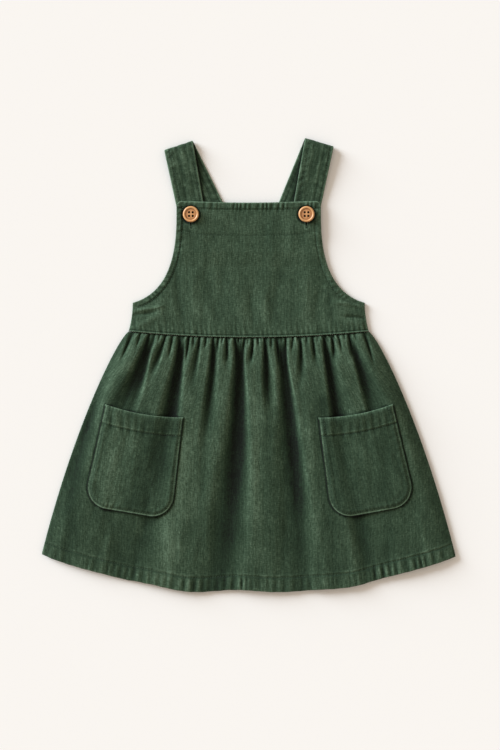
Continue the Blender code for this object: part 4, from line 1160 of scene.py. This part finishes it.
def make_pocket(piece, seed):
    across, depth = np.broadcast_arrays(side_spread(76, 42), pocket_depths()[:, None])
    x, y = pocket_place(piece, across, depth)
    away, along = distance_to(pocket_outline(piece), x, y)
    aside = across * pocket_half(piece, depth)
    from_hem = depth - POCKET_MOUTH_BAND
    from_stitch, from_tack = away - POCKET_STITCH, away - POCKET_TACK
    in_band = smoothstep(1, -1, from_hem)
    below, _ = skirt_front_height(*skirt_shares(x, y), x, y, POCKET_FOLDS)
    lifted = POCKET_MOUTH_LIFT * smoothstep(20, 0, depth) * (1 - across**2)
    base = below + POCKET_GAP + CLOTH + lifted
    turned = np.maximum(1.5 * smoothstep(0.9, -0.4, from_hem), 0.8 * smoothstep(5.5, 3.5, from_stitch))
    grooves = 0.28 * bump(from_stitch, 0.8) + 0.65 * bump(from_hem, 0.9)
    grooves += 0.5 * bump(from_tack, 0.8) * in_band
    seams = 0.8 * puckers(aside, from_hem, 8.8, np.where(from_hem < 0, 15, 6), seed, 0.1, 0.6)
    seams += 0.4 * puckers(along, from_stitch, 7.0, 6, seed + 3, 0.3, 0.6)
    creased = crease_height(POCKET_CREASES, x, y)
    relief = 0.5 * smoothstep(0, 12, from_stitch) + 0.75 * seams + 0.6 * creased
    relief += crumple(aside, depth, (0.25, 14, 32, seed + 5), (0.10, 4.5, 12, seed + 6))
    top = base + 0.25 + BAND_RISE * turned - grooves + relief * smoothstep(0, 3, away)
    half = edge_round(CLOTH + 0.25, away, depth)
    pressed = 1.25 * smoothstep(5.5, 1.0, np.minimum(away, depth + 2))
    upper = top - CLOTH / 2 + half - pressed
    lower = base - CLOTH / 2 - np.minimum(half, CLOTH / 2) - pressed
    lower = np.minimum(np.maximum(lower, below + 0.1), upper - 0.05 * (half > 0))
    # Paler on crests, puckers and raised creases and darker in hollows: partly wear, partly painted
    # highlight and painted shade.
    wear_and_painted_shade = 0.36 * crests(top, 2) + 0.16 * crests(top, 5) + 0.4 * seams + 0.5 * creased
    # Bands painted paler and darker along the folds under the pocket, as painted highlight and painted
    # shade; the mouth's edge paler from wear.
    wear_and_painted_shade += crease_height(POCKET_PAINTED_SHADING, x, y) + 0.8 * bump(depth, 1.3) - 0.25 - 0.08 * piece.side
    # Painted shade as a dark line round the pocket's edge, strongest on the side that faces the light,
    # with a painted highlight just inside it.
    rim = 2.6 + 1.2 * smoothstep(0.5, 1.0, -piece.side * across)
    wear_and_painted_shade += 2.0 * bump(away - 1.6, 0.6) - rim * bump(away, 0.8) * (depth > 2)
    # Painted shade in the stitch line and the tacks; a painted highlight just above the hem's stitches
    # and painted shade just below them.
    wear_and_painted_shade -= 0.2 * bump(from_stitch, 0.8) + 0.5 * bump(from_tack, 0.8) * in_band
    wear_and_painted_shade += 0.5 * bump(from_hem + 1.5, 0.9) - 0.7 * bump(from_hem - 0.7, 1.0)
    uv = np.stack([aside + 100 + 100 * piece.side, 300 - depth], axis=-1)
    return cloth_shell(f"pocket_{piece.word}_cloth", (x, y, upper), (x, y, lower), uv, wear_and_painted_shade)


pockets = {piece.word: make_pocket(piece, 81 + 10 * i) for i, piece in enumerate(POCKETS)}

# %% [markdown]
# ## The wooden buttons
#
# A button is turned on a lathe: a domed rim, a groove inside it, and a flat dish that is
# drilled with four holes for the thread. The lathe's part is one profile, swept round its
# axis, and the drill's part is four small cylinders, cut out. Both are what the maker does.

# %% Buttons
BUTTON_THICKNESS = 3.2
BUTTON_TURNS = 72
HOLE_RADIUS = 1.3
HOLE_ASIDE = 2.0
HOLES = [(x * HOLE_ASIDE, y * HOLE_ASIDE) for x in (-1, 1) for y in (-1, 1)]
BUTTON_BASE = float(bib_height(BUTTON_X, BUTTON_Y, BUTTON_X)) + BAND_RISE + SEAM_GAP
# The third number paints the wood paler or darker: a painted highlight on the rim's crest and the
# dome, painted shade in the groove and underneath.
BUTTON_PROFILE = [  # radius, height, rubbed
    (0.0, 2.46, 0.35), (1.2, 2.45, 0.25), (3.2, 2.38, 0.0), (4.9, 2.24, -0.15),
    (5.55, 2.12, -0.6), (5.95, 2.1, -0.9), (6.25, 2.3, -0.5), (6.55, 2.75, 0.1),
    (6.95, 3.08, 0.6), (7.45, 3.2, 0.9), (7.9, 3.1, 0.7), (8.35, 2.78, 0.2),
    (8.66, 2.35, -0.4), (8.78, 1.9, -0.8), (8.55, 1.4, -1.0), (7.8, 0.85, -1.0),
    (6.6, 0.3, -1.0), (5.5, 0.0, -1.0), (0.0, 0.0, -0.6),
]


def from_bmesh(name, bm):
    """A piece from a bmesh in millimetres, with its faces pointing out."""
    bmesh.ops.recalc_face_normals(bm, faces=bm.faces)
    bmesh.ops.scale(bm, vec=(MM, MM, MM), verts=bm.verts)
    mesh = bpy.data.meshes.new(name)
    bm.to_mesh(mesh)
    bm.free()
    return link(name, mesh)


def turned_button(name, centre):
    """The profile swept round an upright axis."""
    bm = bmesh.new()
    wear_and_shade = bm.verts.layers.float.new("wear_and_painted_shade")
    rings = []
    for radius, height, wear_and_painted_shade in BUTTON_PROFILE:
        ring = []
        for i in range(BUTTON_TURNS if radius else 1):
            angle = 2 * math.pi * i / BUTTON_TURNS
            spot = Vector((radius * math.cos(angle), radius * math.sin(angle), height))
            ring.append(bm.verts.new(spot + centre))
            ring[-1][wear_and_shade] = wear_and_painted_shade
        rings.append(ring)
    for near, far in zip(rings, rings[1:]):
        for i in range(BUTTON_TURNS):
            j = (i + 1) % BUTTON_TURNS
            loop = [near[i % len(near)], far[i % len(far)], far[j % len(far)], near[j % len(near)]]
            bm.faces.new(list(dict.fromkeys(loop)))
    return from_bmesh(name, bm)


def pegs(name, centre, segments, **sizes):
    """One small cone or cylinder at each of a button's four holes."""
    bm = bmesh.new()
    for x, y in HOLES:
        spot = Matrix.Translation(centre + Vector((x, y, 0)))
        bmesh.ops.create_cone(bm, cap_ends=True, segments=segments, matrix=spot, **sizes)
    return from_bmesh(name, bm)


def apply_modifiers(piece):
    """Turn a piece's evaluated form into its own plain mesh."""
    graph = bpy.context.evaluated_depsgraph_get()
    plain = bpy.data.meshes.new_from_object(piece.evaluated_get(graph))
    piece.modifiers.clear()
    piece.data = plain
    return piece


def cut_out(piece, tool):
    """Cut a tool's form out of a piece, and remove the tool."""
    cut = piece.modifiers.new("cut", "BOOLEAN")
    cut.operation = "DIFFERENCE"
    cut.solver = "EXACT"
    cut.object = tool
    apply_modifiers(piece)
    bpy.data.objects.remove(tool, do_unlink=True)
    return piece


def make_button(word, side):
    centre = Vector((side * BUTTON_X, BUTTON_Y, BUTTON_BASE))
    middle = centre + Vector((0, 0, BUTTON_THICKNESS / 2))
    drill = pegs("drill", middle, 20, radius1=HOLE_RADIUS, radius2=HOLE_RADIUS, depth=6)
    made = cut_out(turned_button(f"button_{word}_wood", centre), drill)
    made.data.materials.clear()
    made.data.materials.append(wood_material)
    made.data.materials.append(hole_shade_material)
    # The holes' walls take the near black of painted shade.
    for face in made.data.polygons:
        offset = face.center / MM - centre
        inside = math.hypot(offset.x, offset.y) < 2 * HOLE_ASIDE
        face.material_index = int(inside and abs(face.normal.z) < 0.4)
    made.data.shade_smooth()
    made.data.set_sharp_from_angle(angle=math.radians(48))
    print(made.name, len(made.data.polygons), "faces")
    return made


SIDES = {"left": -1, "right": 1}
buttons = {word: make_button(word, side) for word, side in SIDES.items()}

# %% [markdown]
# ## Buttonholes
#
# Each buttonhole is an upright slit in the bib, with close satin stitches round it. The
# button hides most of it and only its lower end shows, pulled a little open. The slit is a
# pointed cutter taken out of the finished bib, as the maker's blade opens it last of all.

# %% Cut the buttonholes
SLIT_HALF = 1.6
BLADE_HEIGHTS = (3.2, 8.0)  # from below the bib's cloth to above it


def blade():
    """The two pointed cutters, upright through the bib."""
    bm = bmesh.new()
    low, high = BUTTONHOLE
    outline = [(0.0, low), (SLIT_HALF, low + 7), (0.5, high - 3), (0.0, high)]
    outline += [(-x, y) for x, y in outline[2:0:-1]]
    for side in SIDES.values():
        bottom, ceiling = (
            [bm.verts.new((side * BUTTON_X + x, y, z)) for x, y in outline] for z in BLADE_HEIGHTS
        )
        bm.faces.new(bottom[::-1])
        bm.faces.new(ceiling)
        for i in range(len(outline)):
            j = (i + 1) % len(outline)
            bm.faces.new((bottom[i], bottom[j], ceiling[j], ceiling[i]))
    return from_bmesh("blade", bm)


bodice_front = cut_out(bodice_front, blade())
print("bodice_front_cloth:", len(bodice_front.data.polygons), "faces")

# %% [markdown]
# ## Stitches
#
# A lockstitch shows on each side as a row of short threads end to end, each pulled down into
# the cloth at both ends. There are well over a thousand, so they are made by Geometry Nodes:
# the tree lays one small rounded thread on each step along a line. The lines are worked out
# here and dropped onto the cloth, which is why they follow every fold.


# %% A tree that lays stitches along lines
def stitch_tree():
    tree = bpy.data.node_groups.new("lay_stitches", "GeometryNodeTree")
    add = partial(add_node, tree)
    kinds = {"Lines": "Geometry", "Pitch": "Float", "Length": "Float", "Width": "Float"}
    kinds.update({"Quarter turns": "Float", "Seed": "Int", "Thread": "Material"})
    values = {"Pitch": 2.8, "Length": 2.3, "Width": 0.5, "Seed": 7}
    for name, kind in kinds.items():
        made = tree.interface.new_socket(name, in_out="INPUT", socket_type=f"NodeSocket{kind}")
        if name in values:
            made.default_value = values[name]
    tree.interface.new_socket("Stitches", in_out="OUTPUT", socket_type="NodeSocketGeometry")
    given = add("NodeGroupInput").node.outputs
    sizes = {}
    for name in ("Pitch", "Length", "Width"):
        sizes[name] = add("ShaderNodeMath", {0: given[name], 1: MM}, operation="MULTIPLY")
    lines = add("GeometryNodeMeshToCurve", {"Mesh": given["Lines"]})
    inputs = {"Curve": lines, "Length": sizes["Pitch"]}
    steps = add("GeometryNodeResampleCurve", inputs, mode="LENGTH")
    ball = add("GeometryNodeMeshUVSphere", {"Segments": 7, "Rings": 5, "Radius": 0.5})
    inputs = {"X": sizes["Length"], "Y": sizes["Width"], "Z": sizes["Width"]}
    scale = add("ShaderNodeCombineXYZ", inputs)
    thread = add("GeometryNodeTransform", {"Geometry": ball, "Scale": scale})
    way = add("GeometryNodeInputTangent")
    turned = add("FunctionNodeAlignRotationToVector", {"Vector": way}, axis="X")
    inputs = {"Min": -0.11, "Max": 0.11, "Seed": given["Seed"]}
    wander = add("FunctionNodeRandomValue", inputs, 1, data_type="FLOAT")
    inputs = {0: given["Quarter turns"], 1: math.pi / 2, 2: wander}
    swing = add("ShaderNodeMath", inputs, operation="MULTIPLY_ADD")
    inputs = {"Rotation": turned, "Rotate By": add("ShaderNodeCombineXYZ", {"Z": swing})}
    rotation = add("FunctionNodeRotateRotation", inputs, rotation_space="LOCAL")
    inputs = {"Points": steps, "Instance": thread, "Rotation": rotation}
    laid = add("GeometryNodeInstanceOnPoints", inputs)
    real = add("GeometryNodeRealizeInstances", {"Geometry": laid})
    smooth = add("GeometryNodeSetShadeSmooth", {"Geometry": real})
    dyed = add("GeometryNodeSetMaterial", {"Geometry": smooth, "Material": given["Thread"]})
    add("NodeGroupOutput", {"Stitches": dyed})
    return tree


STITCH_TREE = stitch_tree()
STITCH_STEP = 1.5
SINK = 0.02  # how deep a stitch's middle lies in the cloth


def drop_onto(surface, line, side):
    """A line of x and y laid on a surface, from above (side 1) or from below (side -1)."""
    laid = []
    for x, y in line * MM:
        spot = surface.ray_cast(Vector((x, y, side * 0.1)), Vector((0, 0, -side)))[0]
        if spot is not None:
            laid.append((spot.x, spot.y, spot.z - side * SINK * MM))
    return laid


def sew_onto(name, cloth, lines, seed, side=1, **inputs):
    """Lay stitches on a piece of cloth along several lines, and keep them as one plain mesh."""
    vertices = [v.co.copy() for v in cloth.data.vertices]
    surface = BVHTree.FromPolygons(vertices, [tuple(p.vertices) for p in cloth.data.polygons])
    places, edges = [], []
    for line in lines:
        laid = drop_onto(surface, resample(line, STITCH_STEP), side)
        if len(laid) > 2:
            edges += [(i, i + 1) for i in range(len(places), len(places) + len(laid) - 1)]
            places += laid
    mesh = bpy.data.meshes.new(name)
    mesh.from_pydata(places, edges, [])
    piece = link(name, mesh)
    modifier = piece.modifiers.new("stitches", "NODES")
    modifier.node_group = STITCH_TREE
    values = {"Seed": seed, "Thread": thread_material, **inputs}
    for item in STITCH_TREE.interface.items_tree:
        if item.in_out == "INPUT" and item.name in values:
            modifier[item.identifier] = values[item.name]
    print(f"{name}: {len(lines)} lines, {len(apply_modifiers(piece).data.polygons)} faces")
    return piece


# %% Sew the skirt's hem, the bodice and the straps
def hem_line(inset):
    across = np.linspace(-0.992, 0.992, 320)
    down = 1 - (HEM_BAND + 0.5) / SKIRT_LENGTH
    return np.stack(skirt_place(across, down, inset), axis=1)


def armhole_lines(armhole):
    """The stitch line inside each armhole."""
    line, inward = bodice_side(armhole)
    shown = (line[:, 1] > UNDERARM[1] - 0.5) & (line[:, 1] < armhole.corner_y - 6)
    right = (line + inward * STITCHED_EDGE)[shown]
    return [right, right * (-1, 1)]


def bib_lines():
    x = np.linspace(-72, 72, 100)
    top = np.stack([x, top_edge_y(x) - TOP_HEM], axis=1)
    x = np.linspace(-66, 66, 100)
    return [top, np.stack([x, facing_line(x)], axis=1), *armhole_lines(FRONT_ARMHOLE)]


def strap_lines(piece):
    """The two stitch lines of a strap's front leg."""
    tilt = piece.front_lean
    low = np.array([piece.side * BUTTON_X, UNDER_BIB_Y])
    way = np.array([piece.side * math.sin(tilt), math.cos(tilt)])
    high = low + way * (piece.fold_y - UNDER_BIB_Y) / way[1]
    lines = []
    for sign, stitch in zip((-1, 1), STRAP_STITCHES[::-1]):
        beside = np.array([way[1], -way[0]]) * sign * (STRAP_WIDTH / 2 - stitch)
        lines.append(np.array([low + beside * 0.93, high + beside]))
    return lines


across = np.linspace(-0.995, 0.995, 200)
waist = np.stack([across * WAIST_HALF, waist_y(across) + SEAM_GAP / 2 + PIPING / 2], axis=1)
beads = {"Pitch": 2.4, "Length": 1.7, "Width": 0.6}
back_lines = armhole_lines(BACK_ARMHOLE)
stitches = {
    "skirt_front": sew_onto("hem_front_stitches", skirt_front, [hem_line(0.0)], 5),
    "skirt_back": sew_onto("hem_back_stitches", skirt_back, [hem_line(BACK_HEM_INSET)], 6, -1),
    "bodice_front": sew_onto("bib_stitches", bodice_front, bib_lines(), 8),
    "waist": sew_onto("waist_stitches", bodice_front, [waist], 10, **beads),
    "bodice_back": sew_onto("back_bodice_stitches", bodice_back, back_lines, 9, -1),
}
for strap in STRAPS:
    name = f"strap_{strap.word}"
    stitches[name] = sew_onto(f"{name}_stitches", straps[strap.word], strap_lines(strap), 12)


# %% Sew the pockets on
def pocket_lines(piece):
    """The stitches round a pocket, across its mouth's hem, and its two corner tacks."""
    depths = np.linspace(1.5, POCKET_DEPTH, 220)
    right = np.stack([pocket_half(piece, depths), depths], axis=1)
    outline = np.concatenate([right, (right * (-1, 1))[::-1]])
    way = np.gradient(outline, axis=0)
    way /= np.linalg.norm(way, axis=1)[:, None]
    inner = outline + POCKET_STITCH * np.stack([-way[:, 1], way[:, 0]], axis=1)
    inner = inner[(inner[:, 1] > 1.2) & (inner[:, 1] < POCKET_DEPTH - POCKET_STITCH * 0.98)]
    flare = POCKET_MOUTH_BAND * POCKET_FLARE
    span = np.linspace(-1, 1, 60) * (piece.mouth_half + flare - POCKET_STITCH)
    lines = [inner, np.stack([span, np.full(60, POCKET_MOUTH_BAND)], axis=1)]
    corner = piece.mouth_half - POCKET_TACK
    tack = np.array([[corner, 1.2], [corner + flare, POCKET_MOUTH_BAND]])
    placed = []
    for line in [*lines, tack * (-1, 1), tack]:
        aside, depth = line.T
        across = np.clip(aside / pocket_half(piece, np.minimum(depth, POCKET_DEPTH - 0.01)), -1, 1)
        placed.append(np.stack(pocket_place(piece, across, depth), axis=1))
    return placed


for pocket in POCKETS:
    name = f"pocket_{pocket.word}"
    lines = pocket_lines(pocket)
    stitches[name] = sew_onto(f"{name}_stitches", pockets[pocket.word], lines, 14, Pitch=2.6)


# %% Buttonhole stitches and the thread in the buttons
def buttonhole_lines(side):
    """Two lines of close bars, one on each side of a slit."""
    low, high = BUTTONHOLE
    y = np.linspace(low - 0.6, high - 6, 12)
    aside = 0.75 + 0.6 * SLIT_HALF * smoothstep(low, low + 7, y)
    return [np.stack([side * BUTTON_X + sign * aside, y], axis=1) for sign in (-1, 1)]


def button_thread(word, side):
    """Short stubs of thread deep in the four holes, which is what shows of them from above, near black
    as painted shade.
    """
    spot = Vector((side * BUTTON_X, BUTTON_Y, BUTTON_BASE + 0.1))
    made = pegs(f"button_{word}_thread", spot, 12, radius1=0.8, radius2=0.5, depth=0.6)
    made.data.materials.append(hole_shade_material)
    return made


bars = {"Pitch": 0.62, "Length": 1.35, "Width": 0.42, "Quarter turns": 1.0}
holes = [line for side in SIDES.values() for line in buttonhole_lines(side)]
stitches["buttonholes"] = sew_onto("buttonhole_stitches", bodice_front, holes, 17, **bars)
threads = {word: button_thread(word, side) for word, side in SIDES.items()}

# %% [markdown]
# ## Attach the pieces to the body
#
# Every piece rides on the one body, and the solid that it stands for is hidden. Each cloth
# piece also has the size of its flat cloth listed beside it.


# %% Ride and replace
def hand_over(piece, slot, *nodes):
    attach(piece, "root")
    if nodes:
        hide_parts(*nodes)


Cut = namedtuple("Cut", "piece node width length area rests_on")  # in metres
CUTS = [
    Cut(skirt_front, "skirt_front", 0.480, 0.285, 0.119, "skirt_back_cloth"),
    Cut(skirt_back, "skirt_back", 0.480, 0.285, 0.119, "floor"),
    Cut(bodice_front, "bodice_front", 0.264, 0.149, 0.0296, "bodice_back_cloth"),
    Cut(bodice_back, "bodice_back", 0.264, 0.114, 0.0207, "floor"),
    Cut(straps["left"], "strap_left", 0.033, 0.225, 0.00742, "bodice_back_cloth"),
    Cut(straps["right"], "strap_right", 0.033, 0.229, 0.00755, "bodice_back_cloth"),
    Cut(pockets["left"], "pocket_left", 0.098, 0.113, 0.0102, "skirt_front_cloth"),
    Cut(pockets["right"], "pocket_right", 0.094, 0.113, 0.0098, "skirt_front_cloth"),
]
for cut in CUTS:
    hand_over(cut.piece, "green_cloth", cut.node)
for word in SIDES:
    hand_over(buttons[word], "button_wood", f"button_{word}")
    hand_over(threads[word], "green_cloth")
for piece in stitches.values():
    hand_over(piece, "green_cloth")
